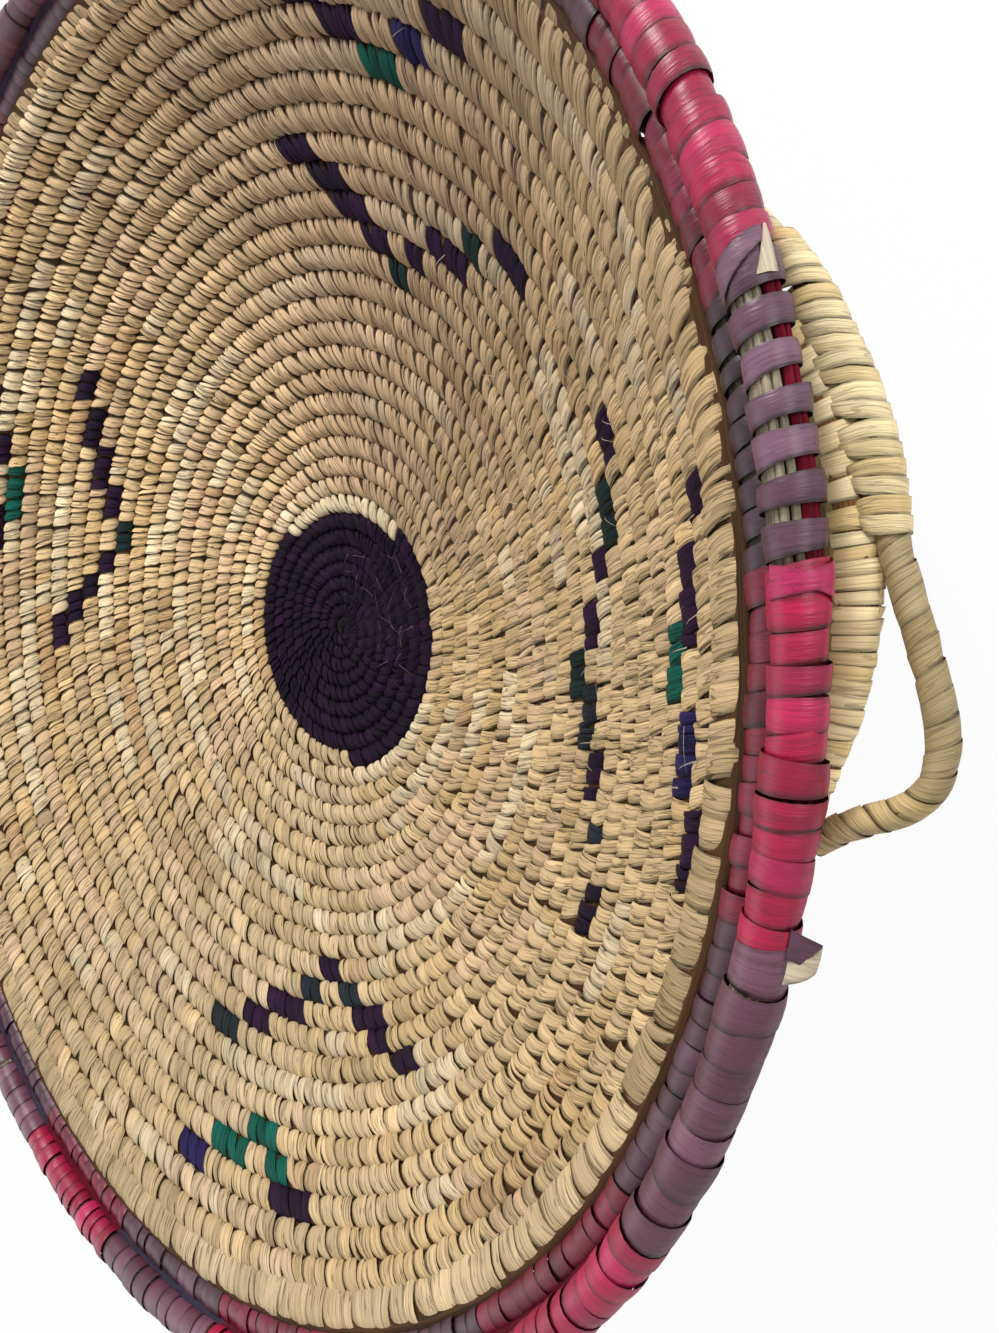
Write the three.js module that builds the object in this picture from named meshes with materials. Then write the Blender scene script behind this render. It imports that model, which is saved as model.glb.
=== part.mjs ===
// Coiled basket bowl: one grass bundle wound from the middle of the base to the rim, two rim coils wrapped
// in bands of dyed leaf, and two bound handles. Millimetres, +Z up, standing on z = 0, axis on Z.
import * as THREE from 'three';

const DEG = Math.PI / 180;

// Coil, counted in turns from its centre; it winds clockwise as seen from above
const START_TURN = 0.5;
const DARK_TURNS = 9;
const FLOOR_END_TURN = 15;
const LOWER_WALL_END_TURN = 23;
const TAPER_START_TURN = 30.75;
const COIL_END_TURN = 31.55;
const FIRST_PITCH = 4.0;
const COIL_PITCH = 7.12;
const PITCH_GROWTH_TURNS = 14;
const ROW_GAP = 0.5;
const COLOUR_CHANGE_ANGLE = -90 * DEG;
const COIL_SIDES = 6;
const CENTRE_STEPS = 16;
const WALL_STEPS = 24;
const END_GAP = 0.3;

// Bowl profile: flat base, then a slope that grows up to the rim
const FLAT_TURNS = 7.5;
const RIM_SLOPE = 41.8 * DEG;
const SLOPE_POWER = 0.72;
const BASE_CUT = 0.5;
const PROFILE_STEP = 0.05;

// Rim coils and the leaf wraps round them
const INNER_RIM_RADIUS = 4.0;
const OUTER_RIM_RADIUS = 4.5;
const WRAP_THICKNESS = 0.8;
const WRAP_CLEARANCE = 0.3;
const INNER_RIM_LEAN = 0 * DEG;
const OUTER_RIM_LEAN = 44 * DEG;
const INNER_RIM_SEAT = 1.0;
const RIM_GAP = 0.3;
const INNER_RIM_SIDES = 6;
const OUTER_RIM_SIDES = 8;

// Colour bands: angles where the leaf changes colour, and how many bands lie between them
const BAND_EDGES = [10.7, -2.2, -18.7, -120.8, -349.3];
const BANDS_BETWEEN = [1, 1, 6, 14];
const STEPS_PER_BAND = 2;
const BAND_GAP = 0.3;

// Handle rod and bow: angle in degrees, then out and up from the centre of the outer rim coil
const ROD_RADIUS = 2.35;
const ROD_TIP_RADIUS = 1.2;
const ROD_TIP_SHARE = 0.06;
const ROD_ROUTE = [
  [13.4, 0.8, -6.3], [11.2, 3.2, -7.2], [8.8, 5.6, -7.6], [6.5, 7.1, -8.2], [4.2, 8.7, -8.6], [1.5, 9.9, -8.8],
  [-1.6, 10.2, -8.8], [-3.4, 11.6, -8.6], [-6.2, 14.4, -8.4], [-8.4, 16.6, -8.2], [-9.8, 17.2, -8.0],
  [-11.1, 16.2, -7.8], [-12.1, 13.0, -7.6], [-12.8, 8.6, -7.4], [-13.5, 4.8, -7.2], [-14.4, 1.6, -7.0],
];
const ROD_STEPS = 44;
const ROD_SIDES = 8;
const BOW_RADIUS = 3.2;
const BOW_END_RADIUS = 1.3;
const BOW_ROUTE = [[9.0, 0.5, -6.3], [3.5, 2.7, -8.8], [-2.0, 3.4, -9.3], [-7.5, 2.4, -8.6], [-13.0, 0.5, -6.3]];
const BOW_STEPS = 20;
const BOW_SIDES = 8;
const BINDING_ANGLES = [4.6, 1.6, -1.4];
const BINDING_WIDTH = 4.0;
const BINDING_THICKNESS = 0.8;
const BINDING_CLEARANCE = 0.6;
const BINDING_ARC_STEPS = 5;

// Colours of the leaf
const COLOURS = {
  dark: '#23142d',
  straw: '#cdaf7d',
  bundle: '#a01c46',
  magenta: '#be1e55',
  mauve: '#6e4b6e',
  handle: '#d7be82',
};

// Length along the profile from the middle of the base, in turns
function pitchAt(turn) {
  return FIRST_PITCH + (COIL_PITCH - FIRST_PITCH) * Math.min(turn / PITCH_GROWTH_TURNS, 1);
}

function slopeAt(turn) {
  const climb = Math.max(turn - FLAT_TURNS, 0) / (TAPER_START_TURN - FLAT_TURNS);
  return RIM_SLOPE * Math.min(climb, 1) ** SLOPE_POWER;
}

// Underside of the wall, one entry every PROFILE_STEP turns: radius and height
const profile = [{ radius: 0, height: 0 }];
for (let turn = 0; turn < COIL_END_TURN; turn += PROFILE_STEP) {
  const last = profile[profile.length - 1];
  const middle = turn + PROFILE_STEP / 2;
  const length = pitchAt(middle) * PROFILE_STEP;
  profile.push({
    radius: last.radius + length * Math.cos(slopeAt(middle)),
    height: last.height + length * Math.sin(slopeAt(middle)),
  });
}

function profileAt(turn) {
  const place = Math.min(turn / PROFILE_STEP, profile.length - 1.001);
  const index = Math.floor(place);
  const part = place - index;
  return {
    radius: profile[index].radius + part * (profile[index + 1].radius - profile[index].radius),
    height: profile[index].height + part * (profile[index + 1].height - profile[index].height),
  };
}

// Half width of the coil along the wall and half thickness across it; the last lap thins out to a tail
function coilHalfSizes(turn) {
  const full = (pitchAt(Math.min(turn, TAPER_START_TURN)) - ROW_GAP) / 2;
  const used = Math.max(turn - TAPER_START_TURN, 0);
  const flat = Math.cos(Math.PI / COIL_SIDES);
  return { width: full - (used * COIL_PITCH) / 2, thickness: full * flat * (1 - 0.6 * used) };
}

// Centre of the coil in the plane of the profile, and the slope of the wall there
function coilCentre(turn) {
  const half = coilHalfSizes(turn);
  const slope = slopeAt(turn);
  const base = profileAt(Math.min(turn, TAPER_START_TURN));
  const fullWidth = coilHalfSizes(Math.min(turn, TAPER_START_TURN)).width;
  const fullThickness = coilHalfSizes(Math.min(turn, TAPER_START_TURN)).thickness;
  const shift = fullWidth - half.width;
  return {
    radius: base.radius + shift * Math.cos(slope),
    height: base.height + fullThickness - BASE_CUT + shift * Math.sin(slope),
    slope,
    half,
  };
}

function coilAngle(turn) {
  return COLOUR_CHANGE_ANGLE - 2 * Math.PI * (turn - DARK_TURNS);
}

function cylindrical(angle, radius, height) {
  return new THREE.Vector3(radius * Math.cos(angle), radius * Math.sin(angle), height);
}

// Joins rings of points into a closed solid: a tube with flat ends, or a closed loop
function solidFromRings(rings, closedLoop) {
  const sides = rings[0].length;
  const positions = rings.flat().flatMap((point) => [point.x, point.y, point.z]);
  const triangles = [];
  const spans = closedLoop ? rings.length : rings.length - 1;
  for (let ring = 0; ring < spans; ring += 1) {
    const here = ring * sides;
    const next = ((ring + 1) % rings.length) * sides;
    for (let side = 0; side < sides; side += 1) {
      const after = (side + 1) % sides;
      triangles.push(here + side, next + side, next + after, here + side, next + after, here + after);
    }
  }
  if (!closedLoop) {
    const last = (rings.length - 1) * sides;
    for (let side = 1; side < sides - 1; side += 1) {
      triangles.push(0, side, side + 1, last, last + side + 1, last + side);
    }
  }
  return outwardGeometry(positions, triangles);
}

// Joins outer and inner rings into a sleeve that is open at both ends
function sleeveFromRings(outer, inner) {
  const sides = outer[0].length;
  const count = outer.length;
  const positions = [...outer.flat(), ...inner.flat()].flatMap((point) => [point.x, point.y, point.z]);
  const triangles = [];
  const innerStart = count * sides;
  const quad = (a, b, c, d) => triangles.push(a, b, c, a, c, d);
  for (let side = 0; side < sides; side += 1) {
    const after = (side + 1) % sides;
    for (let ring = 0; ring < count - 1; ring += 1) {
      const here = ring * sides;
      const next = here + sides;
      quad(here + side, next + side, next + after, here + after);
      quad(innerStart + here + side, innerStart + here + after, innerStart + next + after, innerStart + next + side);
    }
    const last = (count - 1) * sides;
    quad(side, after, innerStart + after, innerStart + side);
    quad(last + side, innerStart + last + side, innerStart + last + after, last + after);
  }
  return outwardGeometry(positions, triangles);
}

// Turns every triangle round if the solid came out inside out
function outwardGeometry(positions, triangles) {
  const point = (index) => new THREE.Vector3().fromArray(positions, 3 * index);
  let volume = 0;
  for (let i = 0; i < triangles.length; i += 3) {
    volume += point(triangles[i]).dot(point(triangles[i + 1]).cross(point(triangles[i + 2])));
  }
  if (volume < 0) {
    triangles.reverse();
  }
  const geometry = new THREE.BufferGeometry();
  geometry.setAttribute('position', new THREE.Float32BufferAttribute(positions, 3));
  geometry.setIndex(triangles);
  geometry.computeVertexNormals();
  return geometry;
}

// Six-sided section of the coil at one turn, corners towards the neighbouring rows, flat on the floor
function coilRing(turn) {
  const { radius, height, slope, half } = coilCentre(turn);
  const ring = [];
  for (let side = 0; side < COIL_SIDES; side += 1) {
    const corner = (2 * Math.PI * side) / COIL_SIDES;
    const along = half.width * Math.cos(corner);
    const across = (half.thickness * Math.sin(corner)) / Math.sin(Math.PI / 3);
    const out = radius + along * Math.cos(slope) - across * Math.sin(slope);
    const up = height + along * Math.sin(slope) + across * Math.cos(slope);
    ring.push(cylindrical(coilAngle(turn), out, Math.max(up, 0)));
  }
  return ring;
}

// Rings of the coil from one turn to another, with a ring on every whole step of a turn
function coilRings(fromTurn, toTurn, steps) {
  const turns = [fromTurn + END_GAP / 2 / (2 * Math.PI * profileAt(fromTurn).radius)];
  for (let step = Math.floor(fromTurn * steps) + 1; step < toTurn * steps - 1e-6; step += 1) {
    turns.push(step / steps);
  }
  turns.push(toTurn - END_GAP / 2 / (2 * Math.PI * profileAt(toTurn).radius));
  return turns.map(coilRing);
}

// Least distance between corners of the coil that lie half a turn or more apart along it
function leastSelfGap(rings, steps) {
  let least = Infinity;
  for (let i = 0; i < rings.length; i += 1) {
    for (let j = i + steps / 2; j < rings.length; j += 1) {
      for (const a of rings[i]) {
        for (const b of rings[j]) {
          least = Math.min(least, a.distanceTo(b));
        }
      }
    }
  }
  return least;
}

// Places of the two rim coils: the inner one sits on the edge of the wall, the outer one leans on it
const wallEdge = coilCentre(TAPER_START_TURN);
const innerSeat = INNER_RIM_RADIUS + INNER_RIM_SEAT;
const innerRim = {
  radius: wallEdge.radius + wallEdge.half.width * Math.cos(wallEdge.slope) + innerSeat * Math.cos(INNER_RIM_LEAN),
  height: wallEdge.height + wallEdge.half.width * Math.sin(wallEdge.slope) + innerSeat * Math.sin(INNER_RIM_LEAN),
};
const rimSpacing = INNER_RIM_RADIUS + RIM_GAP + OUTER_RIM_RADIUS;
const outerRim = {
  radius: innerRim.radius + rimSpacing * Math.cos(OUTER_RIM_LEAN),
  height: innerRim.height + rimSpacing * Math.sin(OUTER_RIM_LEAN),
};

// Angles where the bands begin, going round with the coil; the last one closes the circle
const bandAngles = [];
for (let part = 0; part < BANDS_BETWEEN.length; part += 1) {
  for (let band = 0; band < BANDS_BETWEEN[part]; band += 1) {
    const share = band / BANDS_BETWEEN[part];
    bandAngles.push((BAND_EDGES[part] + share * (BAND_EDGES[part + 1] - BAND_EDGES[part])) * DEG);
  }
}
bandAngles.push(BAND_EDGES[BAND_EDGES.length - 1] * DEG);

function rimRing(rim, angle, radius, sides) {
  const ring = [];
  for (let side = 0; side < sides; side += 1) {
    const corner = (2 * Math.PI * (side + 0.5)) / sides;
    ring.push(cylindrical(angle, rim.radius + radius * Math.cos(corner), rim.height + radius * Math.sin(corner)));
  }
  return ring;
}

function rimCore(rim, radius, sides) {
  const rings = [];
  for (let band = 0; band < bandAngles.length - 1; band += 1) {
    for (let step = 0; step < STEPS_PER_BAND; step += 1) {
      const share = step / STEPS_PER_BAND;
      const angle = bandAngles[band] + share * (bandAngles[band + 1] - bandAngles[band]);
      rings.push(rimRing(rim, angle, radius, sides));
    }
  }
  return solidFromRings(rings, true);
}

// One band of leaf wraps; its ends lie on the chords of the core, half a gap from the colour change
function rimWrap(rim, band, outerRadius, innerRadius, sides) {
  const from = bandAngles[band];
  const to = bandAngles[band + 1];
  const shares = [];
  for (let step = 0; step <= STEPS_PER_BAND; step += 1) {
    shares.push(step / STEPS_PER_BAND);
  }
  const ringsAt = (radius) => {
    const rings = shares.map((share) => rimRing(rim, from + share * (to - from), radius, sides));
    const trim = BAND_GAP / 2;
    shortenEnd(rings[0], rings[1], trim);
    shortenEnd(rings[rings.length - 1], rings[rings.length - 2], trim);
    return rings;
  };
  return sleeveFromRings(ringsAt(outerRadius), ringsAt(innerRadius));
}

function shortenEnd(ring, towards, length) {
  ring.forEach((point, side) => {
    const run = point.distanceTo(towards[side]);
    point.lerp(towards[side], length / run);
  });
}

// A smooth path through a handle's route, given by angle, out and up from the outer rim coil
function handlePath(route) {
  return new THREE.CatmullRomCurve3(route.map(([angle, out, up]) =>
    cylindrical(angle * DEG, outerRim.radius + out, outerRim.height + up)));
}

function tubeAlong(path, steps, sides, radiusAt) {
  const rings = [];
  const up = new THREE.Vector3(0, 0, 1);
  for (let step = 0; step <= steps; step += 1) {
    const share = step / steps;
    const centre = path.getPointAt(share);
    const tangent = path.getTangentAt(share);
    const aside = new THREE.Vector3().crossVectors(tangent, up).normalize();
    const above = new THREE.Vector3().crossVectors(aside, tangent).normalize();
    const ring = [];
    for (let side = 0; side < sides; side += 1) {
      const corner = (2 * Math.PI * (side + 0.5)) / sides;
      ring.push(centre.clone()
        .addScaledVector(aside, radiusAt(share) * Math.cos(corner))
        .addScaledVector(above, radiusAt(share) * Math.sin(corner)));
    }
    rings.push(ring);
  }
  return solidFromRings(rings, false);
}

// The rod thins towards its first end, which is tucked under the rim
function rodRadiusAt(share) {
  return ROD_RADIUS - (ROD_RADIUS - ROD_TIP_RADIUS) * Math.max(1 - share / ROD_TIP_SHARE, 0);
}

function bowRadiusAt(share) {
  return BOW_END_RADIUS + (BOW_RADIUS - BOW_END_RADIUS) * Math.sin(Math.PI * share) ** 0.6;
}

// Where a path crosses the upright plane through the axis at an angle
function crossing(path, angle) {
  let low = 0;
  let high = 1;
  for (let round = 0; round < 40; round += 1) {
    const middle = (low + high) / 2;
    const point = path.getPointAt(middle);
    if (Math.atan2(point.y, point.x) > angle) {
      low = middle;
    } else {
      high = middle;
    }
  }
  const point = path.getPointAt(low);
  return { share: low, out: Math.hypot(point.x, point.y), up: point.z };
}

// An oval band round the bow and the rod: two half circles joined by straight runs
function bindingOutline(bow, rod, bowRadius, rodRadius) {
  const towards = Math.atan2(rod.up - bow.up, rod.out - bow.out);
  const outline = [];
  for (const [place, radius, turn] of [[rod, rodRadius, 0], [bow, bowRadius, Math.PI]]) {
    for (let step = 0; step <= BINDING_ARC_STEPS; step += 1) {
      const corner = towards + turn + Math.PI * (step / BINDING_ARC_STEPS - 0.5);
      outline.push([place.out + radius * Math.cos(corner), place.up + radius * Math.sin(corner)]);
    }
  }
  return outline;
}

function binding(rodPath, bowPath, angle) {
  const rod = crossing(rodPath, angle);
  const bow = crossing(bowPath, angle);
  const bowRadius = bowRadiusAt(bow.share) + BINDING_CLEARANCE;
  const rodRadius = ROD_RADIUS + BINDING_CLEARANCE;
  const tangent = new THREE.Vector3(-Math.sin(angle), Math.cos(angle), 0);
  const ringsAt = (extra) => [-0.5, 0.5].map((end) =>
    bindingOutline(bow, rod, bowRadius + extra, rodRadius + extra).map(([out, up]) =>
      cylindrical(angle, out, up).addScaledVector(tangent, end * BINDING_WIDTH)));
  return sleeveFromRings(ringsAt(BINDING_THICKNESS), ringsAt(0));
}

const basket = new THREE.Group();

function addPiece(group, name, geometry, colour, roughness) {
  const material = new THREE.MeshStandardMaterial({ color: colour, roughness, metalness: 0 });
  const mesh = new THREE.Mesh(geometry, material);
  mesh.name = name;
  group.add(mesh);
}

// The coil, in four lengths that meet end to end
const coilLengths = [
  ['centre_coil', START_TURN, DARK_TURNS, CENTRE_STEPS, COLOURS.dark],
  ['floor_coil', DARK_TURNS, FLOOR_END_TURN, WALL_STEPS, COLOURS.straw],
  ['lower_wall_coil', FLOOR_END_TURN, LOWER_WALL_END_TURN, WALL_STEPS, COLOURS.straw],
  ['upper_wall_coil', LOWER_WALL_END_TURN, COIL_END_TURN, WALL_STEPS, COLOURS.straw],
];
for (const [name, fromTurn, toTurn, steps, colour] of coilLengths) {
  const rings = coilRings(fromTurn, toTurn, steps);
  console.log(`${name}: least gap to itself ${leastSelfGap(rings, steps).toFixed(2)} mm`);
  addPiece(basket, name, solidFromRings(rings, false), colour, 0.7);
}

// The rim: two cores, each under its bands of wraps
const rims = [
  ['inner_rim', innerRim, INNER_RIM_RADIUS, INNER_RIM_SIDES],
  ['outer_rim', outerRim, OUTER_RIM_RADIUS, OUTER_RIM_SIDES],
];
for (const [name, rim, radius, sides] of rims) {
  const innerRadius = radius - WRAP_THICKNESS;
  addPiece(basket, `${name}_core`, rimCore(rim, innerRadius - WRAP_CLEARANCE, sides), COLOURS.bundle, 0.8);
  for (let band = 0; band < bandAngles.length - 1; band += 1) {
    const colour = band % 2 === 0 ? COLOURS.mauve : COLOURS.magenta;
    const number = String(band + 1).padStart(2, '0');
    addPiece(basket, `${name}_wrap_${number}`, rimWrap(rim, band, radius, innerRadius, sides), colour, 0.45);
  }
}

// Two handles, opposite each other
for (const [name, turn] of [['near_handle', 0], ['far_handle', Math.PI]]) {
  const handle = new THREE.Group();
  handle.rotation.z = turn;
  const rodPath = handlePath(ROD_ROUTE);
  const bowPath = handlePath(BOW_ROUTE);
  addPiece(handle, `${name}_bow`, tubeAlong(bowPath, BOW_STEPS, BOW_SIDES, bowRadiusAt), COLOURS.handle, 0.6);
  addPiece(handle, `${name}_rod`, tubeAlong(rodPath, ROD_STEPS, ROD_SIDES, rodRadiusAt), COLOURS.handle, 0.6);
  BINDING_ANGLES.forEach((angle, index) => {
    addPiece(handle, `${name}_binding_${index + 1}`, binding(rodPath, bowPath, angle * DEG), COLOURS.handle, 0.6);
  });
  basket.add(handle);
}

export default basket;
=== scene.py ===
"""Coiled basket bowl, dressed for rendering: the coil's leaf stitches, the rim's wraps and the handles.

Sizes are worked out in millimetres and put into the meshes in metres. The coil is counted in turns from the
middle of the base. An angle is measured about the bowl's axis, anticlockwise from the near handle.
"""

import math

import bpy
import numpy as np
from mathutils import Matrix


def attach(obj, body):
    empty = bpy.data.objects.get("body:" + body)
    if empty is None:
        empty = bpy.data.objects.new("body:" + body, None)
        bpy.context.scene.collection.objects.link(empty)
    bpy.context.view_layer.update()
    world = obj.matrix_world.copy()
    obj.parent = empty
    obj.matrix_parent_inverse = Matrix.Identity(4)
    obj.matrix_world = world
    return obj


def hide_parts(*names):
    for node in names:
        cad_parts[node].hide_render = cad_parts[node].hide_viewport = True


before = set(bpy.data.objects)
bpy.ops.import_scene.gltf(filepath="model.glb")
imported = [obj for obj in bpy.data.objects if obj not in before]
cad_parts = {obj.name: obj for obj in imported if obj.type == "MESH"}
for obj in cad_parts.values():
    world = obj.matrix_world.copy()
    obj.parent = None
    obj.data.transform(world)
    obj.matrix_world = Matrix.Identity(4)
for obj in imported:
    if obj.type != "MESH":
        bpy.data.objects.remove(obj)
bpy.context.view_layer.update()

MM = 0.001
TAU = 2 * math.pi
rng = np.random.default_rng(20)

# Coil of the wall, as in the solids, with a narrow sewing after it that closes the wall up to the rim
DARK_TURNS = 9.0
TAPER_START = 30.75
TAPER_TURNS = 0.9
TAPER_THINNING = 0.6
SEWING_END = 31.95
SEWING_WIDTH = 1.3
FIRST_PITCH = 4.0
COIL_PITCH = 7.12
GROWTH_TURNS = 14.0
ROW_GAP = 0.5
FLAT_TURNS = 7.5
RIM_SLOPE = math.radians(41.8)
SLOPE_POWER = 0.72
BASE_CUT = 0.5
LOWEST_POINT = 0.05
HEX_FLAT = math.cos(math.pi / 6)

# Where the stitches begin, and where one piece of them ends and the next begins
FIRST_STITCH = 0.55
FLOOR_END = 15.0
LOWER_WALL_END = 23.0
UPPER_WALL_END = 27.0

# Rim coils: radius of the ring, height, radius of the coil
INNER_RIM = (186.93, 70.93, 4.0)
OUTER_RIM = (193.26, 77.05, 4.5)

# Bands of rim wraps: angles of some edges, bands between them, and a length along the rim past the open band
BAND_EDGES = (10.7, -2.2, -18.7, -120.8, -349.3)
BANDS_BETWEEN = (1, 1, 6, 14)
BAND_COUNT = sum(BANDS_BETWEEN)
OPEN_BAND_END = 20.0


def linear(red, green, blue):
    """A screen colour, 0 to 255 a channel, as the linear colour that the shaders work in."""
    c = np.array([red, green, blue]) / 255.0
    return np.where(c <= 0.04045, c / 12.92, ((c + 0.055) / 1.055) ** 2.4)


STRAW = linear(205, 177, 134)
CREAM = linear(228, 214, 184)
GOLD = linear(198, 165, 112)
TAN = linear(200, 167, 139)
UMBER = linear(174, 133, 88)
AUBERGINE = linear(26, 11, 34)
PLUM = linear(34, 13, 40)
SLATE = linear(28, 36, 42)
BOTTLE = linear(20, 38, 36)
TEAL = linear(12, 84, 71)
INDIGO = linear(38, 30, 78)
MAGENTA = linear(160, 14, 62)
ROSE = linear(182, 36, 90)
VIOLET = linear(168, 28, 84)
MAUVE = linear(88, 54, 72)
LILAC = linear(116, 82, 102)
# Mauve as it looks in shade, painted on the seam between the rim coils
MAUVE_IN_SHADE = linear(62, 58, 80)
CRIMSON = linear(150, 16, 52)
PALE = linear(232, 213, 168)
HONEY = linear(212, 184, 128)
BARK = linear(122, 84, 48)
INK = linear(9, 3, 13)

# Small helpers


def ramp(value, start, end):
    """0 up to a start, 1 from an end on and even between them. The end may lie below the start."""
    return np.clip((value - start) / (end - start), 0.0, 1.0)


def bell(value, middle, spread):
    """1 at a middle, falling to 0 on both sides: exp(-((value - middle) / spread)^2)."""
    return np.exp(-((value - middle) / spread) ** 2)


def per_strip(values):
    """One value for each strip, or one for all, shaped to spread over the strips' grids."""
    return np.reshape(values, (-1, 1, 1))


def round_axis(out, angle, up):
    """Points at a distance from the bowl's axis, an angle about it and a height."""
    out, angle, up = np.broadcast_arrays(out, angle, up)
    return np.stack([out * np.cos(angle), out * np.sin(angle), up], axis=-1)


def circle(count):
    """Angles of points spread evenly round a circle."""
    return np.arange(count) * TAU / count


# The coil's law


def pitch_at(turn):
    """Row spacing along the wall: it grows evenly over the first turns and then stays."""
    return FIRST_PITCH + (COIL_PITCH - FIRST_PITCH) * np.minimum(turn / GROWTH_TURNS, 1.0)


def slope_at(turn):
    """Slope of the wall: flat at first, then a power of the share of the climb up to the rim's slope."""
    return RIM_SLOPE * ramp(turn, FLAT_TURNS, TAPER_START) ** SLOPE_POWER


# The wall's profile, summed over small steps of the turn
PROFILE_STEP = 0.01
PROFILE_TURNS = np.arange(0.0, TAPER_START + PROFILE_STEP, PROFILE_STEP)
PROFILE_MIDDLES = PROFILE_TURNS[:-1] + PROFILE_STEP / 2
PROFILE_LENGTHS = pitch_at(PROFILE_MIDDLES) * PROFILE_STEP
PROFILE_RADIUS = np.concatenate([[0.0], np.cumsum(PROFILE_LENGTHS * np.cos(slope_at(PROFILE_MIDDLES)))])
PROFILE_HEIGHT = np.concatenate([[0.0], np.cumsum(PROFILE_LENGTHS * np.sin(slope_at(PROFILE_MIDDLES)))])


def coil_state(turn):
    """Radius, height, slope, half width and half thickness of the coil at a turn.

    Up to the taper the coil's centre lies half a thickness above the profile. After it the outer edge stays
    where it is and the width shrinks by half a row spacing for each turn, down to that of the sewing along
    the rim.
    """
    held = np.minimum(turn, TAPER_START)
    used = np.maximum(turn - TAPER_START, 0.0)
    full = (pitch_at(held) - ROW_GAP) / 2
    width = np.maximum(full - used * COIL_PITCH / 2, SEWING_WIDTH)
    thick = full * HEX_FLAT * (1 - TAPER_THINNING * np.minimum(used, TAPER_TURNS))
    slope = slope_at(turn)
    radius = np.interp(held, PROFILE_TURNS, PROFILE_RADIUS) + (full - width) * np.cos(slope)
    height = np.interp(held, PROFILE_TURNS, PROFILE_HEIGHT) + full * HEX_FLAT - BASE_CUT
    height = height + (full - width) * np.sin(slope)
    return radius, height, slope, width, thick


def coil_angle(turn):
    """Angle of the coil at a turn: clockwise from above, with every whole turn at minus 90 degrees."""
    return -math.pi / 2 - TAU * turn


def side_angle(turn):
    """Angle of the coil at a turn in degrees, between minus 180 and 180."""
    return (np.degrees(coil_angle(turn)) + 180.0) % 360.0 - 180.0


def turn_at(lap, angle):
    """Turn of the coil at an angle in degrees, counted on from where a lap starts."""
    return lap + (-90.0 - angle) / 360.0


def coil_points(turn, along, rise):
    """Points at a turn, moved outwards along the wall and inwards across it, all in millimetres."""
    radius, height, slope, _, _ = coil_state(turn)
    out = radius + along * np.cos(slope) - rise * np.sin(slope)
    up = height + along * np.sin(slope) + rise * np.cos(slope)
    return round_axis(out, coil_angle(turn), np.maximum(up, LOWEST_POINT))


# Mesh making


def grid_faces(count, rows, columns, closed_rows=False, closed_columns=False):
    """Corner numbers of the quads of several grids that lie one after another in the vertex list."""
    i = np.arange(rows if closed_rows else rows - 1)
    j = np.arange(columns if closed_columns else columns - 1)
    i, j = np.meshgrid(i, j, indexing="ij")
    i2, j2 = (i + 1) % rows, (j + 1) % columns
    one = np.stack([i * columns + j, i2 * columns + j, i2 * columns + j2, i * columns + j2], axis=-1)
    one = one.reshape(-1, 4)
    return (np.arange(count)[:, None, None] * rows * columns + one).reshape(-1, 4)


def make_piece(name, points, faces, material, colours, uv, edge, nodes=()):
    """A smooth mesh object at the origin from points in millimetres, quads and values at its points.

    colours fill the point attribute leaf, edge the attribute edge, which holds painted shade, and uv the map
    of strip width and length.
    The piece stands for the named solids and can be refinished by its slot.
    """
    points = points.reshape(-1, 3)
    mesh = bpy.data.meshes.new(name)
    mesh.vertices.add(len(points))
    mesh.vertices.foreach_set("co", (points * MM).astype(np.float32).ravel())
    mesh.loops.add(faces.size)
    mesh.loops.foreach_set("vertex_index", faces.astype(np.int32).ravel())
    mesh.polygons.add(len(faces))
    mesh.polygons.foreach_set("loop_start", np.arange(0, faces.size, 4, dtype=np.int32))
    mesh.update(calc_edges=True)
    mesh.shade_smooth()
    layer = mesh.uv_layers.new(name="UVMap")
    layer.data.foreach_set("uv", uv.reshape(-1, 2)[faces.ravel()].astype(np.float32).ravel())
    rgba = np.ones((len(points), 4), np.float32)
    rgba[:, :3] = colours.reshape(-1, 3)
    mesh.attributes.new("leaf", "FLOAT_COLOR", "POINT").data.foreach_set("color", rgba.ravel())
    mesh.attributes.new("edge", "FLOAT", "POINT").data.foreach_set("value", edge.astype(np.float32).ravel())
    mesh.validate()
    piece = bpy.data.objects.new(name, mesh)
    bpy.context.scene.collection.objects.link(piece)
    mesh.materials.append(material)
    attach(piece, "root")
    if nodes:
        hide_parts(*nodes)


def strips_piece(name, grids, tints, material, nodes=()):
    """Strips given as a stack of grids, with one tint each, as one piece."""
    points, uv, edge = grids
    count, rows, columns, _ = points.shape
    colours = np.broadcast_to(tints[:, None, None, :], points.shape)
    make_piece(name, points, grid_faces(count, rows, columns), material, colours, uv, edge, nodes)


def bundle_piece(name, points, around, along, tints, ring=False, flipped=False, nodes=()):
    """Grass bundles given as a stack of tubes, with a map of around and along, as one piece.

    A ring's last section joins its first. The faces of a tube that runs the other way round are flipped.
    """
    count, steps, sides, _ = points.shape
    shape = (count, steps, sides)
    uv = np.stack([np.broadcast_to(around, shape), np.broadcast_to(along, shape)], axis=-1)
    faces = grid_faces(count, steps, sides, closed_rows=ring, closed_columns=True)
    faces = faces[:, ::-1] if flipped else faces
    colours = np.broadcast_to(tints, points.shape)
    make_piece(name, points, faces, BUNDLE, colours, uv, np.zeros(shape), nodes)


# Materials

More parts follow.
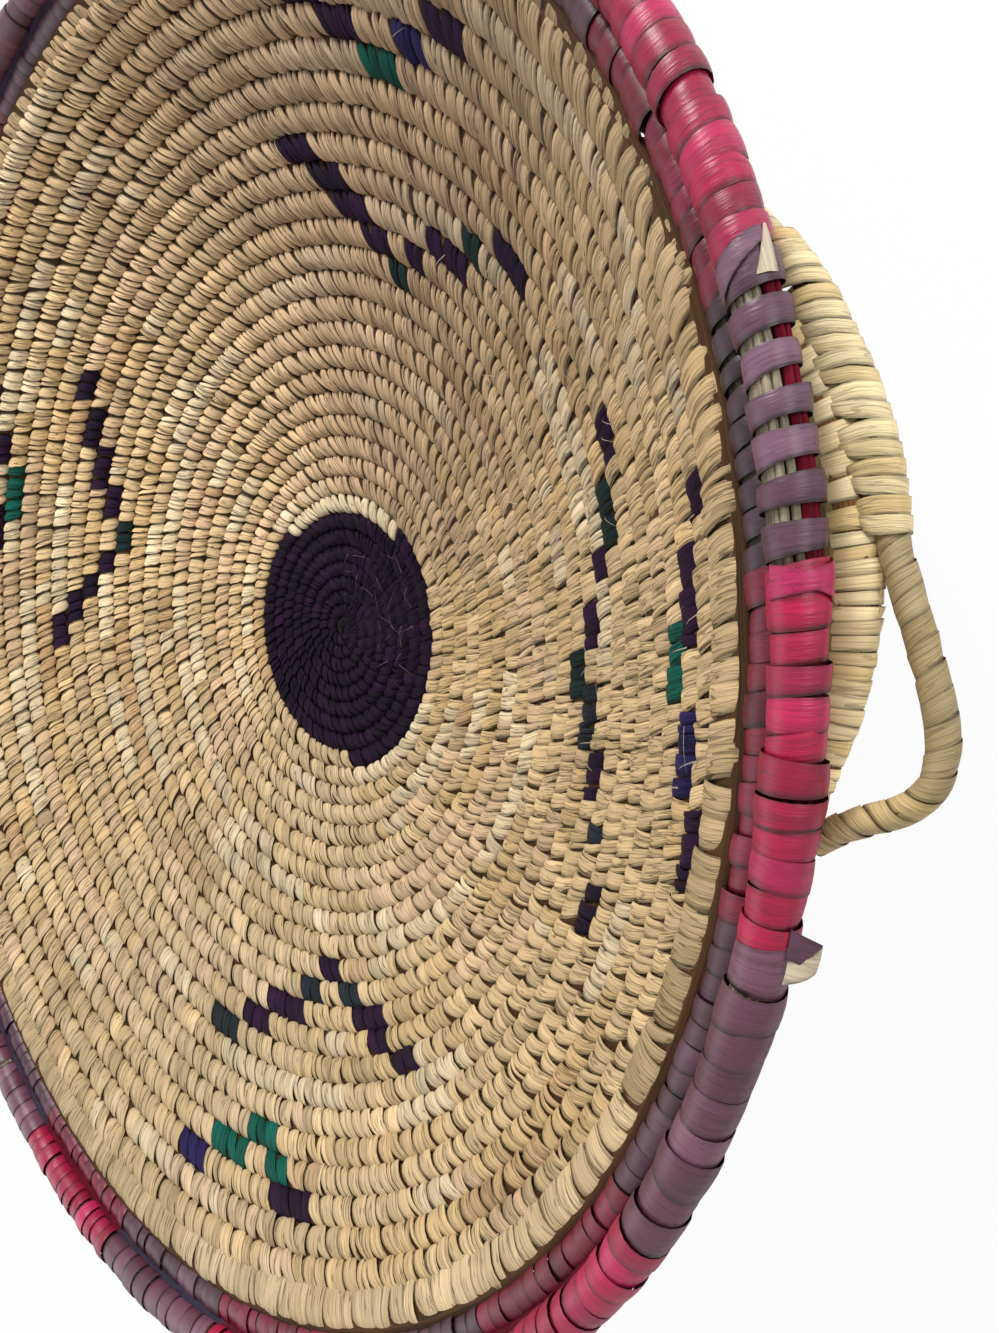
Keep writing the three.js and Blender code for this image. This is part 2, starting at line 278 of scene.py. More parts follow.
# Fibres on a strip's map: how many lines, bands and cracks lie across and along a centimetre
LINES_IN_CM = (17.0, 1.0, 1.0)
BANDS_IN_CM = (6.0, 0.8, 1.0)
CRACKS_IN_CM = (8.0, 0.55, 1.0)
CRACK_WIDTH = 0.02
BLOTCHES_IN_M = 70.0
BLOTCH_RANGE = 0.4
BLOTCH_LEAST = 0.8
EDGE_POWER = 5.0
DARKEST = 0.12
ROUGHNESS_RANGE = 0.28
BAND_HEIGHT = 0.6
BUMP_DEPTH = 0.0006


def node(tree, kind, place, **values):
    """A node of a kind at a place, with its settings and the values of its named or numbered inputs."""
    made = tree.nodes.new(kind)
    made.location = place
    for key, value in values.items():
        if key.startswith("in_"):
            name = key[3:]
            made.inputs[int(name) if name.isdigit() else name.replace("_", " ")].default_value = value
        else:
            setattr(made, key, value)
    return made


def maths(tree, place, operation, *values):
    """Output of a Math node, each of whose inputs is linked to a socket or set to a number."""
    made = node(tree, "ShaderNodeMath", place, operation=operation)
    for entry, value in zip(made.inputs, values):
        if isinstance(value, bpy.types.NodeSocket):
            tree.links.new(value, entry)
        else:
            entry.default_value = value
    return made.outputs[0]


def noise(tree, place, vector, scale=1.0, stretch=None, detail=2.0, roughness=0.5):
    """Output of a noise that reads a vector, which can be stretched first."""
    if stretch:
        stretched = node(tree, "ShaderNodeMapping", (place[0] - 200, place[1]), in_Scale=stretch)
        tree.links.new(vector, stretched.inputs["Vector"])
        vector = stretched.outputs[0]
    made = node(tree, "ShaderNodeTexNoise", place, in_Scale=scale, in_Detail=detail, in_Roughness=roughness)
    tree.links.new(vector, made.inputs["Vector"])
    return made.outputs["Fac"]


def leaf_fibre_group():
    """Fibres of a leaf strip, from its map of width and length.

    Colour: the tint, made lighter and darker by fine lines along the strip and by soft blotches, dark in thin
    cracks between fibres and darkened by the painted shade that the Edge input gives, most towards the
    strip's
    tucked edge. Height: the same lines and cracks.
    """
    tree = bpy.data.node_groups.new("leaf_fibre", "ShaderNodeTree")
    for name, kind in (("Tint", "Color"), ("Strip", "Vector"), ("Place", "Vector"), ("Edge", "Float"),
                       ("Streak", "Float"), ("Edge Shade", "Float"), ("Smooth", "Float"), ("Crack", "Float")):
        tree.interface.new_socket(name, in_out="INPUT", socket_type="NodeSocket" + kind)
    for name, kind in (("Colour", "Color"), ("Roughness", "Float"), ("Height", "Float")):
        tree.interface.new_socket(name, in_out="OUTPUT", socket_type="NodeSocket" + kind)
    link = tree.links.new
    given = node(tree, "NodeGroupInput", (-1100, 0)).outputs
    put = node(tree, "NodeGroupOutput", (900, 0)).inputs
    lines = noise(tree, (-700, 200), given["Strip"], stretch=LINES_IN_CM, detail=3.0, roughness=0.65)
    bands = noise(tree, (-700, -100), given["Strip"], stretch=BANDS_IN_CM)
    split = noise(tree, (-700, -600), given["Strip"], stretch=CRACKS_IN_CM, detail=1.0)
    blotch = noise(tree, (-700, -350), given["Place"], scale=BLOTCHES_IN_M, detail=3.0)
    thin = maths(tree, (-480, -600), "COMPARE", split, 0.5, CRACK_WIDTH)
    crack = maths(tree, (-320, -600), "MULTIPLY", thin, given["Crack"])
    both = maths(tree, (-480, 150), "ADD", lines, bands)
    centred = maths(tree, (-320, 150), "SUBTRACT", both, 1.0)
    shade = maths(tree, (-160, 150), "MULTIPLY", centred, given["Streak"])
    spot = maths(tree, (-320, -250), "MULTIPLY_ADD", blotch, BLOTCH_RANGE, BLOTCH_LEAST)
    level = maths(tree, (0, 150), "ADD", shade, spot)
    # Painted shade from the Edge input
    edge = maths(tree, (-320, -450), "POWER", given["Edge"], EDGE_POWER)
    fall = maths(tree, (-160, -450), "MULTIPLY", edge, given["Edge Shade"])
    darker = maths(tree, (160, 100), "SUBTRACT", level, fall)
    cracked = maths(tree, (240, 0), "SUBTRACT", darker, crack)
    least = maths(tree, (320, 100), "MAXIMUM", cracked, DARKEST)
    colour = node(tree, "ShaderNodeVectorMath", (480, 200), operation="SCALE")
    link(given["Tint"], colour.inputs[0])
    link(least, colour.inputs["Scale"])
    link(colour.outputs[0], put["Colour"])
    link(maths(tree, (480, -50), "MULTIPLY_ADD", lines, ROUGHNESS_RANGE, given["Smooth"]), put["Roughness"])
    ridge = maths(tree, (480, -250), "MULTIPLY_ADD", bands, BAND_HEIGHT, lines)
    link(maths(tree, (640, -250), "SUBTRACT", ridge, crack), put["Height"])
    return tree


LEAF_FIBRE = leaf_fibre_group()


def leaf_material(name, streak, edge_shade, smooth, crack, bump, specular):
    """A leaf strip's finish: the tint of each strip with its fibres."""
    material = bpy.data.materials.new(name)
    material.use_nodes = True
    tree = material.node_tree
    link = tree.links.new
    surface = tree.nodes["Principled BSDF"]
    surface.inputs["Specular IOR Level"].default_value = specular
    fibre = node(tree, "ShaderNodeGroup", (-350, 100), node_tree=LEAF_FIBRE, in_Streak=streak,
                 in_Edge_Shade=edge_shade, in_Smooth=smooth, in_Crack=crack)
    tint = node(tree, "ShaderNodeAttribute", (-650, 300), attribute_name="leaf")
    # The edge attribute holds painted shade, which darkens the tint in the fibre group
    side = node(tree, "ShaderNodeAttribute", (-650, -250), attribute_name="edge")
    strip = node(tree, "ShaderNodeUVMap", (-650, 100), uv_map="UVMap")
    place = node(tree, "ShaderNodeTexCoord", (-650, -50))
    link(tint.outputs["Color"], fibre.inputs["Tint"])
    link(strip.outputs["UV"], fibre.inputs["Strip"])
    link(place.outputs["Object"], fibre.inputs["Place"])
    link(side.outputs["Fac"], fibre.inputs["Edge"])
    link(fibre.outputs["Colour"], surface.inputs["Base Color"])
    link(fibre.outputs["Roughness"], surface.inputs["Roughness"])
    relief = node(tree, "ShaderNodeBump", (-150, -250), in_Strength=bump, in_Distance=BUMP_DEPTH)
    link(fibre.outputs["Height"], relief.inputs["Height"])
    link(relief.outputs["Normal"], surface.inputs["Normal"])
    return material


STRAW_LEAF = leaf_material("straw_leaf", streak=0.75, edge_shade=0.95, smooth=0.50, crack=0.5,
                           bump=0.7, specular=0.1)
DARK_LEAF = leaf_material("dark_leaf", streak=0.8, edge_shade=0.6, smooth=0.36, crack=0.4,
                          bump=0.7, specular=0.07)
RIM_LEAF = leaf_material("rim_leaf", streak=0.7, edge_shade=0.7, smooth=0.24, crack=0.25,
                         bump=0.25, specular=0.42)
HANDLE_LEAF = leaf_material("handle_leaf", streak=0.4, edge_shade=0.6, smooth=0.36, crack=0.3,
                            bump=0.45, specular=0.35)
BUNDLE = leaf_material("grass_bundle", streak=1.1, edge_shade=0.0, smooth=0.6, crack=0.5,
                       bump=0.8, specular=0.2)

# Places, widths and tints of the coil's stitches

# Dyed blocks of the chevrons: lap of the coil, angles where the block begins and ends, dye
CHEVRONS = [
    (21, -7.5, -12, BOTTLE), (22, -2, -7, PLUM), (22, -11.5, -17, SLATE), (23, 1.5, -1.5, PLUM),
    (23, -17, -22.5, PLUM), (24, 8, 2, BOTTLE), (24, -22.5, -25.5, SLATE), (25, 12.5, 8, PLUM),
    (25, -27, -31.5, AUBERGINE), (28, -4.5, -10.5, TEAL), (29, 0, -5.5, PLUM), (29, -9.5, -15, INDIGO),
    (30, 3.5, 0.5, PLUM), (30, -15, -20, PLUM),
    (19, -83.5, -88.5, AUBERGINE), (20, -78, -84, SLATE), (20, -88, -92.5, SLATE), (21, -73, -79.5, PLUM),
    (21, -92, -100, PLUM), (22, -70, -75, PLUM), (22, -97.5, -103.5, PLUM), (23, -65.5, -70, AUBERGINE),
    (23, -103, -108.5, SLATE), (26, -87.5, -93.5, TEAL), (27, -92.5, -98.5, TEAL), (27, -84.5, -88, TEAL),
    (28, -98.5, -103.5, INDIGO), (28, -79.5, -84.5, PLUM),
    (19, -201.5, -208, BOTTLE), (20, -198, -202, PLUM), (20, -207, -213.5, PLUM),
    (21, -193, -197, AUBERGINE), (21, -212.5, -220.5, PLUM), (22, -188.5, -193, AUBERGINE),
    (22, -219, -225.5, AUBERGINE), (23, -183, -188.5, PLUM), (23, -225.5, -231, AUBERGINE),
    (26, -203, -211, TEAL), (27, -198, -203.5, PLUM), (27, -210.5, -216, PLUM), (28, -193, -198, PLUM),
    (28, -215.5, -221, INDIGO),
    (19, -305, -310, BOTTLE), (20, -300.5, -305.5, PLUM), (20, -310, -313, PLUM), (21, -295.5, -301, PLUM),
    (21, -314, -321.5, PLUM), (22, -292, -297, AUBERGINE), (22, -321, -324.5, BOTTLE),
    (23, -287, -292.5, PLUM), (23, -325.5, -331.5, AUBERGINE), (26, -304.5, -310.5, TEAL),
    (27, -299.5, -305, PLUM), (27, -310, -315, INDIGO), (28, -294.5, -300, PLUM), (28, -315, -320, PLUM),
]

# Round the bowl, by side angle: room for a strip, and how far strips slant, tilt, bite, overlap, take painted
# shade at their edges and are made lighter or darker by painted light and shade
SIDES = [-180, -120, -70, -40, 0, 35, 75, 105, 145, 180]
SPACINGS = [4.5, 5.2, 4.9, 4.3, 3.6, 3.9, 3.6, 4.1, 4.4, 4.5]
LEANS = [2.8, 4.6, 5.4, 5.2, 1.6, 3.2, 5.4, 4.8, 2.8, 2.8]
TILTS = [0.50, 0.24, 0.22, 0.28, 0.22, 0.40, 0.55, 0.60, 0.55, 0.50]
BITES = [0.25, 0.40, 0.90, 1.10, 1.20, 0.60, 0.30, 0.20, 0.20, 0.25]
LAPS = [0.18, 0.22, 0.18, 0.10, 0.00, -0.10, -0.12, -0.08, 0.10, 0.18]
EDGE_SHADES = [0.98, 0.80, 0.80, 0.90, 0.92, 1.05, 1.12, 1.13, 1.06, 0.98]
PAINTED_LIGHTS = [1.06, 0.88, 0.96, 1.04, 1.07, 0.83, 1.12, 1.34, 1.24, 1.04]

# Stretches of the bowl, by side angle: middle and spread
ROSY_SIDE = (65.0, 45.0)
PALE_SIDE = (-105.0, 50.0)
SPLIT_SIDE = (75.0, 45.0)

# The row along the rim: where it eases in, and how it differs from the rows before it
LAST_ROW_EASE = (TAPER_START - 0.15, TAPER_START + 0.05)
LAST_ROW_NEARNESS = 0.85
LAST_ROW_BROADER = 0.4
LAST_ROW_LAP = 0.08
LAST_ROW_EVENER = 0.35
LAST_ROW_DARKER = 0.12
LAST_ROW_FLATTER = 0.3
LAST_ROW_LIGHT_END = 0.4
LAST_ROW_REACH = 1.3
LAST_ROW_BUNDLE_REACH = 2.0

# The near side's spread, in degrees, at the front left and at the back right, and where it grows there
FRONT_SPREAD = 34.0
BACK_SPREAD = 38.0
BACK_SPREAD_GROWTH = 22.0
BACK_SPREAD_TURNS = (24.0, 29.0)

# Room for a strip in the middle of the base: a least room and a power of the turn
MIDDLE_SPACING = 2.9
SPACING_GROWTH = 0.065
SPACING_POWER = 1.2

# Samples of the coil that the stitches are counted on, and jitter of a stitch's place as a share of its room
PLACE_SAMPLES = 6000
PLACE_JITTER = 0.18

# Straws of the runs of stitches, each with its share of the runs, and how far a run takes its straw's tint
STRAWS = [(STRAW, 0.44), (CREAM, 0.18), (GOLD, 0.22), (TAN, 0.12), (UMBER, 0.04)]
NEW_RUN_CHANCE = 0.18
RUN_TINT = 0.5
RUN_SHADE = 0.06
STITCH_SHADE = 0.08
ROSY_SHARE = 0.65
PALE_SHARE = 0.25
ROSY_TINT = TAN * 0.84
PALE_TINT = CREAM * 0.85
DYE_SHADE = 0.16
DYE_RANGE = (0.6, 1.6)

# The dark middle: its tint, and a stretch of straw between two turns
DARK_TINT = INK * 0.5 + AUBERGINE * 0.5
BARE_TURNS = (8.41, 8.64)
BARE_TINT = CREAM * 0.6 + STRAW * 0.4


def lastness(turn):
    """1 in the row that tapers along the rim, and 0 before it."""
    return ramp(turn, *LAST_ROW_EASE)


def nearness(turn):
    """1 on the near side of the bowl, falling to 0 away from it, and high all along the last row.

    It falls faster at the front left than at the back right, where it spreads more in the upper rows.
    """
    side = side_angle(turn)
    back = BACK_SPREAD + BACK_SPREAD_GROWTH * ramp(turn, *BACK_SPREAD_TURNS)
    spread = np.where(side < 0, FRONT_SPREAD, back)
    return np.maximum(bell(side, 0.0, spread), LAST_ROW_NEARNESS * lastness(turn))


def stitch_spacing(turn):
    """Width that a stitch takes along the coil.

    It is broad at the front left and in the last row, and narrow in the middle of the base.
    """
    wide = np.interp(side_angle(turn), SIDES, SPACINGS) * (1 + LAST_ROW_BROADER * lastness(turn))
    return np.minimum(wide, MIDDLE_SPACING + SPACING_GROWTH * turn ** SPACING_POWER)


def stitch_places(first, last):
    """Turns of the stitches from one turn to another: one each time the length run makes a full spacing."""
    turn = np.linspace(first, last, PLACE_SAMPLES)
    rate = TAU * coil_state(turn)[0] / stitch_spacing(turn)
    count = np.concatenate([[0.0], np.cumsum((rate[1:] + rate[:-1]) / 2 * np.diff(turn))])
    total = int(count[-1])
    marks = (np.arange(total) + 0.5) * count[-1] / total + rng.uniform(-PLACE_JITTER, PLACE_JITTER, total)
    places = np.interp(marks, count, turn)
    return places, TAU * coil_state(places)[0] * np.gradient(places)


def straw_tints(turn):
    """Tints of straw stitches: runs of a few stitches of one leaf, each run and stitch a little different.

    They are rosier at the back right and paler at the front left, and made lighter or darker round the bowl
    by painted light and shade. In the last row they differ less and are darker. The stitches of the chevrons
    then take their block's dye.
    """
    count = len(turn)
    side = side_angle(turn)
    last = lastness(turn)
    straws, shares = zip(*STRAWS)
    run = np.cumsum(rng.random(count) < NEW_RUN_CHANCE)
    runs = run[-1] + 1
    pick = rng.choice(len(straws), size=runs, p=shares)[run]
    mixed = (RUN_TINT - LAST_ROW_EVENER * last)[:, None]
    tints = np.stack(straws)[pick] * mixed + STRAW * (1 - mixed)
    rosy = ROSY_SHARE * bell(side, *ROSY_SIDE)[:, None]
    pale = PALE_SHARE * bell(side, *PALE_SIDE)[:, None]
    # Painted light and shade by side angle, lowered in the last row
    painted_light = (np.interp(side, SIDES, PAINTED_LIGHTS) * (1 - LAST_ROW_DARKER * last))[:, None]
    tints = (tints * (1 - rosy - pale) + ROSY_TINT * rosy + PALE_TINT * pale) * painted_light
    shade = rng.normal(1.0, RUN_SHADE, runs)[run] * rng.normal(1.0, STITCH_SHADE, count)
    tints = tints * shade[:, None]
    for lap, begin, end, dye in CHEVRONS:
        inside = (turn >= turn_at(lap, begin)) & (turn <= turn_at(lap, end))
        tints[inside] = dye * rng.normal(1.0, DYE_SHADE, (inside.sum(), 1)).clip(*DYE_RANGE)
    return tints


def dark_tints(turn):
    """Tints of the dark middle: mostly near black, some stitches purple, and a stretch of straw."""
    mix = rng.random((len(turn), 1)) ** 3
    tints = DARK_TINT * (1 - mix) + PLUM * mix
    bare = (turn > BARE_TURNS[0]) & (turn < BARE_TURNS[1])
    tints[bare] = BARE_TINT * rng.normal(1.0, RUN_SHADE, (bare.sum(), 1))
    return tints


# Shapes of the coil's stitches

# A strip's grid: places from tip to tip and across its width, and its width from tip to tip
SECTION = np.array([-1, -0.88, -0.7, -0.5, -0.28, -0.1, 0.08, 0.2, 0.33, 0.46, 0.58, 0.7, 0.81, 0.91, 1])
ACROSS = np.array([-1.0, -0.6, 0.1, 0.7, 1.0])
WIDTH_AT = [-1.0, -0.6, 0.0, 0.3, 0.55, 0.75, 0.9, 1.0]
ROPE_WIDTHS = [0.6, 0.85, 0.70, 0.95, 1.02, 1.0, 0.66, 0.12]
FLAT_WIDTHS = [0.6, 0.9, 0.85, 0.92, 0.96, 1.0, 1.02, 0.8]
TIE_WIDTHS = [0.5, 0.9, 1.0, 1.0, 1.0, 0.95, 0.75, 0.3]

# A strip's map: length between two places of its grid, and room in which each strip has a place of its own
SECTION_LENGTH = 1.45
MAP_ROOM = 40.0
MAP_SKEW = 1.7

# A strip's section: how far its tips dive, how far it lies off the coil and how far it is crowned
DIVE_START = 0.9
DIVE_DEPTH = 0.5
STRIP_REACH = 0.2
STRIP_SINK = 0.15
TIP_RISE = 0.22
NEAR_TIP_RISE = 0.5
CROWN = 0.32
NEAR_FLATTER = 0.14
CROWN_POWER = 2.2
TILT_AT_ENDS = 0.4
LEAST_ADVANCE = 0.4

# Painted shade on a strip: from where to where each end and each side darkens, and how much the raised side
# does
OUTER_END = (0.2, 0.08)
UPPER_TIP = (0.81, 1.0)
TUCKED_SIDE = (0.1, 0.75)
RAISED_SIDE = (-0.6, -1.0)
RAISED_SHADE = 0.94

# Chance that a stitch is parted in two, also on the near side and at the back right, and where it parts
SPLIT_CHANCE = 0.08
NEAR_SPLIT_CHANCE = 0.06
BACK_SPLIT_CHANCE = 0.3
SPLIT_CUT = (0.34, 0.66)
SPLIT_SHADE = 0.07

# How far single stitches differ: width and slant as shares, lift and bite in millimetres
WIDTH_SPREAD = 0.05
LEAN_SPREAD = 0.26
LIFT_SPREAD = 0.08
NEAR_LIFT_SPREAD = 0.04
BITE_SPREAD = 0.15
NEAR_BITE_SPREAD = 0.15

# Half width of the coil, in millimetres, below which slant and bite shrink with it
FULL_HALF_WIDTH = 3.3

# The bundle under the stitches: sections in a turn, sides, size beside the coil's, and map
BUNDLE_SECTIONS = 56
BUNDLE_SIDES = 10
BUNDLE_REACH = 0.45
BUNDLE_THICKNESS = 0.74
BUNDLE_LEAST = 0.5
BUNDLE_MAP = (1.6, 12.0)


def strip_section(beta, half, bite, thick, tip):
    """A strip's line round a coil: how far along the wall and how high across it.

    beta runs from -1 at the tip below to 1 at the tip above, and a = pi |beta| is the angle from the coil's
    outer edge. On the outer side along = half cos a and rise = thick sin(a)^0.85. On the inner side the
    reach is a bite longer and the rise falls only to a share of the thickness. The last bit dives.
    """
    a = np.abs(beta) * math.pi
    inner = np.cos(a) < 0
    along = np.where(inner, half + bite, half) * np.cos(a)
    rise = np.where(inner, thick * (tip + (1 - tip) * np.sin(a)), thick * np.sin(a) ** 0.85)
    dive = ramp(np.abs(beta), DIVE_START, 1.0)
    return along, (rise - DIVE_DEPTH * thick * dive) * np.sign(beta)


def strip_map(u, width, length, shape):
    """Map of strips in centimetres, width across and length along, each strip at a place of its own."""
    seed = rng.random((shape[0], 1, 1)) * MAP_ROOM
    across = np.broadcast_to(seed + u * width / 20.0, shape)
    return np.stack([across, np.broadcast_to(seed * MAP_SKEW + length / 10.0, shape)], axis=-1)


def tucked(u, shape):
    """How dark a strip's edges are.

    They are darkened by painted shade from near the middle to where the next strip laps over, and close to
    the raised edge.
    """
    dark = np.maximum(ramp(u, *TUCKED_SIDE), RAISED_SHADE * ramp(u, *RAISED_SIDE))
    return np.broadcast_to(dark, shape)


def stitch_grids(turn, width, slant, lift, bite, near):
    """Leaf strips bound round the coil, one grid each, from the tip below to the tip above.

    A strip follows strip_section. It slants: at the outer edge it lies half a slant back and at the upper
    tip half a slant on. Across its width it is crowned by 1 - |u|^2.2 and tilted, so that it laps over the
    strip before it. On the near side the strips are flatter, with broad tips that stay high. Its edges and
    both its ends are darkened by painted shade, which changes round the bowl and is most at the back. In the
    last row it reaches up to the rim.
    """
    shape = (len(turn), len(SECTION), len(ACROSS))
    beta = SECTION[None, :, None]
    a = np.abs(beta) * math.pi
    u = ACROSS[None, None, :]
    side = side_angle(turn)
    radius, _, _, half, thick = (per_strip(values) for values in coil_state(turn))
    flat = per_strip(near)
    last = per_strip(lastness(turn))
    w, s = per_strip(width), per_strip(slant)
    reach = half + STRIP_REACH + LAST_ROW_REACH * last
    along, rise = strip_section(beta, reach, per_strip(bite), thick, TIP_RISE + NEAR_TIP_RISE * flat)
    shift_below = -0.5 * s - (w - s).clip(LEAST_ADVANCE) * (1 - np.cos(a)) / 2
    shift = np.where(beta >= 0, -0.5 * s * np.cos(a), shift_below)
    rope_widths = np.interp(beta, WIDTH_AT, ROPE_WIDTHS)
    flat_widths = np.interp(beta, WIDTH_AT, FLAT_WIDTHS)
    sideways = shift + u * 0.5 * w * (rope_widths * (1 - flat) + flat_widths * flat)
    crown = (CROWN - NEAR_FLATTER * flat) * (1 - np.abs(u) ** CROWN_POWER)
    tilt = per_strip(np.interp(side, SIDES, TILTS)) * u * (TILT_AT_ENDS + (1 - TILT_AT_ENDS) * np.sin(a))
    tilt = tilt * (1 - LAST_ROW_FLATTER * last)
    grow = 1 + (crown - tilt - STRIP_SINK + per_strip(lift)) / thick
    at = per_strip(turn) + sideways / (TAU * radius)
    points = coil_points(np.broadcast_to(at, shape), along * grow, rise * grow)
    # Painted shade at the strip's ends and edges, scaled by side angle
    outer_end = ramp(beta, *OUTER_END) * (1 - LAST_ROW_LIGHT_END * last)
    ends = np.maximum(outer_end, ramp(beta, *UPPER_TIP))
    edge = np.maximum(tucked(u, shape), ends) * per_strip(np.interp(side, SIDES, EDGE_SHADES))
    length = np.arange(1, len(SECTION) + 1)[None, :, None] * SECTION_LENGTH
    return points, strip_map(u, w, length, shape), edge


def split_some(turn, width, tints, chance):
    """Parts some of the stitches, each by its chance, into two narrow strips side by side."""
    chosen = rng.random(len(turn)) < chance
    keep = ~chosen
    per_mm = 1.0 / (TAU * coil_state(turn)[0])
    cut = rng.uniform(*SPLIT_CUT, len(turn))
    left = turn - width * (1 - cut) / 2 * per_mm
    right = turn + width * cut / 2 * per_mm
    shade = rng.normal(1.0, SPLIT_SHADE, (chosen.sum(), 1))
    return (np.concatenate([turn[keep], left[chosen], right[chosen]]),
            np.concatenate([width[keep], (width * cut)[chosen], (width * (1 - cut))[chosen]]),
            np.concatenate([tints[keep], tints[chosen], tints[chosen] * shade]))


def sew(name, first, last, material, tints_of, nodes=()):
    """All stitches of the coil between two turns, as one piece that stands for solids."""
    turn, spacing = stitch_places(first, last)
    chance = SPLIT_CHANCE + NEAR_SPLIT_CHANCE * nearness(turn)
    chance = chance + BACK_SPLIT_CHANCE * bell(side_angle(turn), *SPLIT_SIDE)
    turn, width, tints = split_some(turn, spacing, tints_of(turn), chance)
    count = len(turn)
    near = nearness(turn)
    size = np.minimum(coil_state(turn)[3] / FULL_HALF_WIDTH, 1.0)
    side = side_angle(turn)
    lap = np.interp(side, SIDES, LAPS) + LAST_ROW_LAP * lastness(turn)
    width = width * rng.normal(1.0 + lap, WIDTH_SPREAD)
    slant = np.interp(side, SIDES, LEANS) * rng.normal(1.0, LEAN_SPREAD, count) * size
    lift = rng.normal(0.0, LIFT_SPREAD + NEAR_LIFT_SPREAD * near)
    bite = rng.normal(np.interp(side, SIDES, BITES), BITE_SPREAD + NEAR_BITE_SPREAD * near) * size
    strips_piece(name, stitch_grids(turn, width, slant, lift, bite, near), tints, material, nodes)


def coil_bundle(name, first, last, tint):
    """The bundle under the stitches: a lens-shaped tube along the same spiral.

    Its edges meet the next row's, and in the last row they reach up to the rim.
    """
    turn = np.linspace(first, last, int((last - first) * BUNDLE_SECTIONS))[None, :, None]
    a = circle(BUNDLE_SIDES)[None, None, :]
    _, _, _, half, thick = coil_state(turn)
    reach = half + BUNDLE_REACH + LAST_ROW_BUNDLE_REACH * lastness(turn)
    points = coil_points(turn, reach * np.cos(a), thick.clip(BUNDLE_LEAST) * BUNDLE_THICKNESS * np.sin(a))
    bundle_piece(name, points, a * BUNDLE_MAP[0], turn * BUNDLE_MAP[1], tint, flipped=True)


sew("centre_stitches", FIRST_STITCH, DARK_TURNS, DARK_LEAF, dark_tints, ["centre_coil"])
sew("floor_stitches", DARK_TURNS, FLOOR_END, STRAW_LEAF, straw_tints, ["floor_coil"])
sew("lower_wall_stitches", FLOOR_END, LOWER_WALL_END, STRAW_LEAF, straw_tints,
    ["lower_wall_coil"])
sew("upper_wall_stitches", LOWER_WALL_END, UPPER_WALL_END, STRAW_LEAF, straw_tints,
    ["upper_wall_coil"])
sew("rim_row_stitches", UPPER_WALL_END, SEWING_END, STRAW_LEAF, straw_tints)
coil_bundle("centre_bundle", 0.0, DARK_TURNS, INK)
# The wall bundle's bark tint is halved: partly a darker brown, partly painted shade in the valleys between
# rows
coil_bundle("wall_bundle", DARK_TURNS, SEWING_END, BARK * 0.5)

# Loose fibre ends: ranges of their length and height, how far off the coil they start, half width, taper
WHISKER_LENGTH = (4.0, 9.0)
WHISKER_HEIGHT = (0.2, 1.5)
WHISKER_START = 0.3
WHISKER_HALF_WIDTH = 0.14
WHISKER_TAPER = 0.9
FIBRE_SHADE = 0.15


def whiskers(name, count, first, last, middle, spread, tint):
    """Loose fibre ends: thin ribbons on the stitches of some laps, spread about an angle.

    With t from 0 to 1, a ribbon runs on by its length times t in its own direction along the wall, stands
    off by 4 t (1 - t) times its height and narrows to a point.
    """
    t = np.linspace(0.0, 1.0, 6)[None, :, None]
    u = np.array([-1.0, 1.0])[None, None, :]
    turn = per_strip(turn_at(rng.integers(first, last, count), rng.normal(middle, spread, count)))
    heading = per_strip(rng.random(count) * TAU)
    length = per_strip(rng.uniform(*WHISKER_LENGTH, count)) * t
    wide = WHISKER_HALF_WIDTH * (1 - WHISKER_TAPER * t) * u
    radius, _, _, _, thick = coil_state(turn)
    ahead = length * np.cos(heading) - wide * np.sin(heading)
    aside = length * np.sin(heading) + wide * np.cos(heading)
    rise = thick + WHISKER_START + per_strip(rng.uniform(*WHISKER_HEIGHT, count)) * 4 * t * (1 - t) + 0 * u
    points = coil_points(turn + ahead / (TAU * radius), aside, rise)
    uv = np.stack([length + wide, length + 0 * u], axis=-1)
    tints = tint * rng.normal(1.0, FIBRE_SHADE, (count, 1))
    strips_piece(name, (points, uv, np.zeros(rise.shape)), tints, STRAW_LEAF)


whiskers("wall_whiskers", count=70, first=18, last=31, middle=2.0, spread=20.0, tint=CREAM * 0.8)
whiskers("disc_whiskers", count=26, first=5, last=9, middle=15.0, spread=32.0, tint=LILAC)

# Wraps round a path


class Path:
    """A line through points with two directions square to it, read by length along it."""

    def __init__(self, points, closed=False):
        if closed:
            points = np.concatenate([points, points[:1]])
        self.points = points
        self.closed = closed
        run = np.linalg.norm(np.diff(points, axis=0), axis=1)
        self.at = np.concatenate([[0.0], np.cumsum(run)])
        self.length = self.at[-1]
        if closed:
            ahead = np.roll(points[:-1], -1, axis=0) - np.roll(points[:-1], 1, axis=0)
            ahead = np.concatenate([ahead, ahead[:1]])
        else:
            ahead = np.gradient(points, axis=0)
        ahead = ahead / np.linalg.norm(ahead, axis=1, keepdims=True)
        side = np.cross(ahead, (0.0, 0.0, 1.0))
        self.side = side / np.linalg.norm(side, axis=1, keepdims=True)
        self.over = np.cross(self.side, ahead)

    def read(self, values, s):
        """Values given at the line's points, read at lengths along it."""
        s = s % self.length if self.closed else np.clip(s, 0.0, self.length)
        return np.stack([np.interp(s, self.at, values[:, k]) for k in range(3)], axis=-1)

    def place(self, s, aside, above):
        """Points at a length along the line, moved to its side and over it."""
        return (self.read(self.points, s) + aside[..., None] * self.read(self.side, s)
                + above[..., None] * self.read(self.over, s))


def ring_path(ring_radius, height, steps=720):
    """A level circle, run clockwise as seen from above, that starts at angle 0."""
    return Path(round_axis(ring_radius, -circle(steps), height), closed=True)


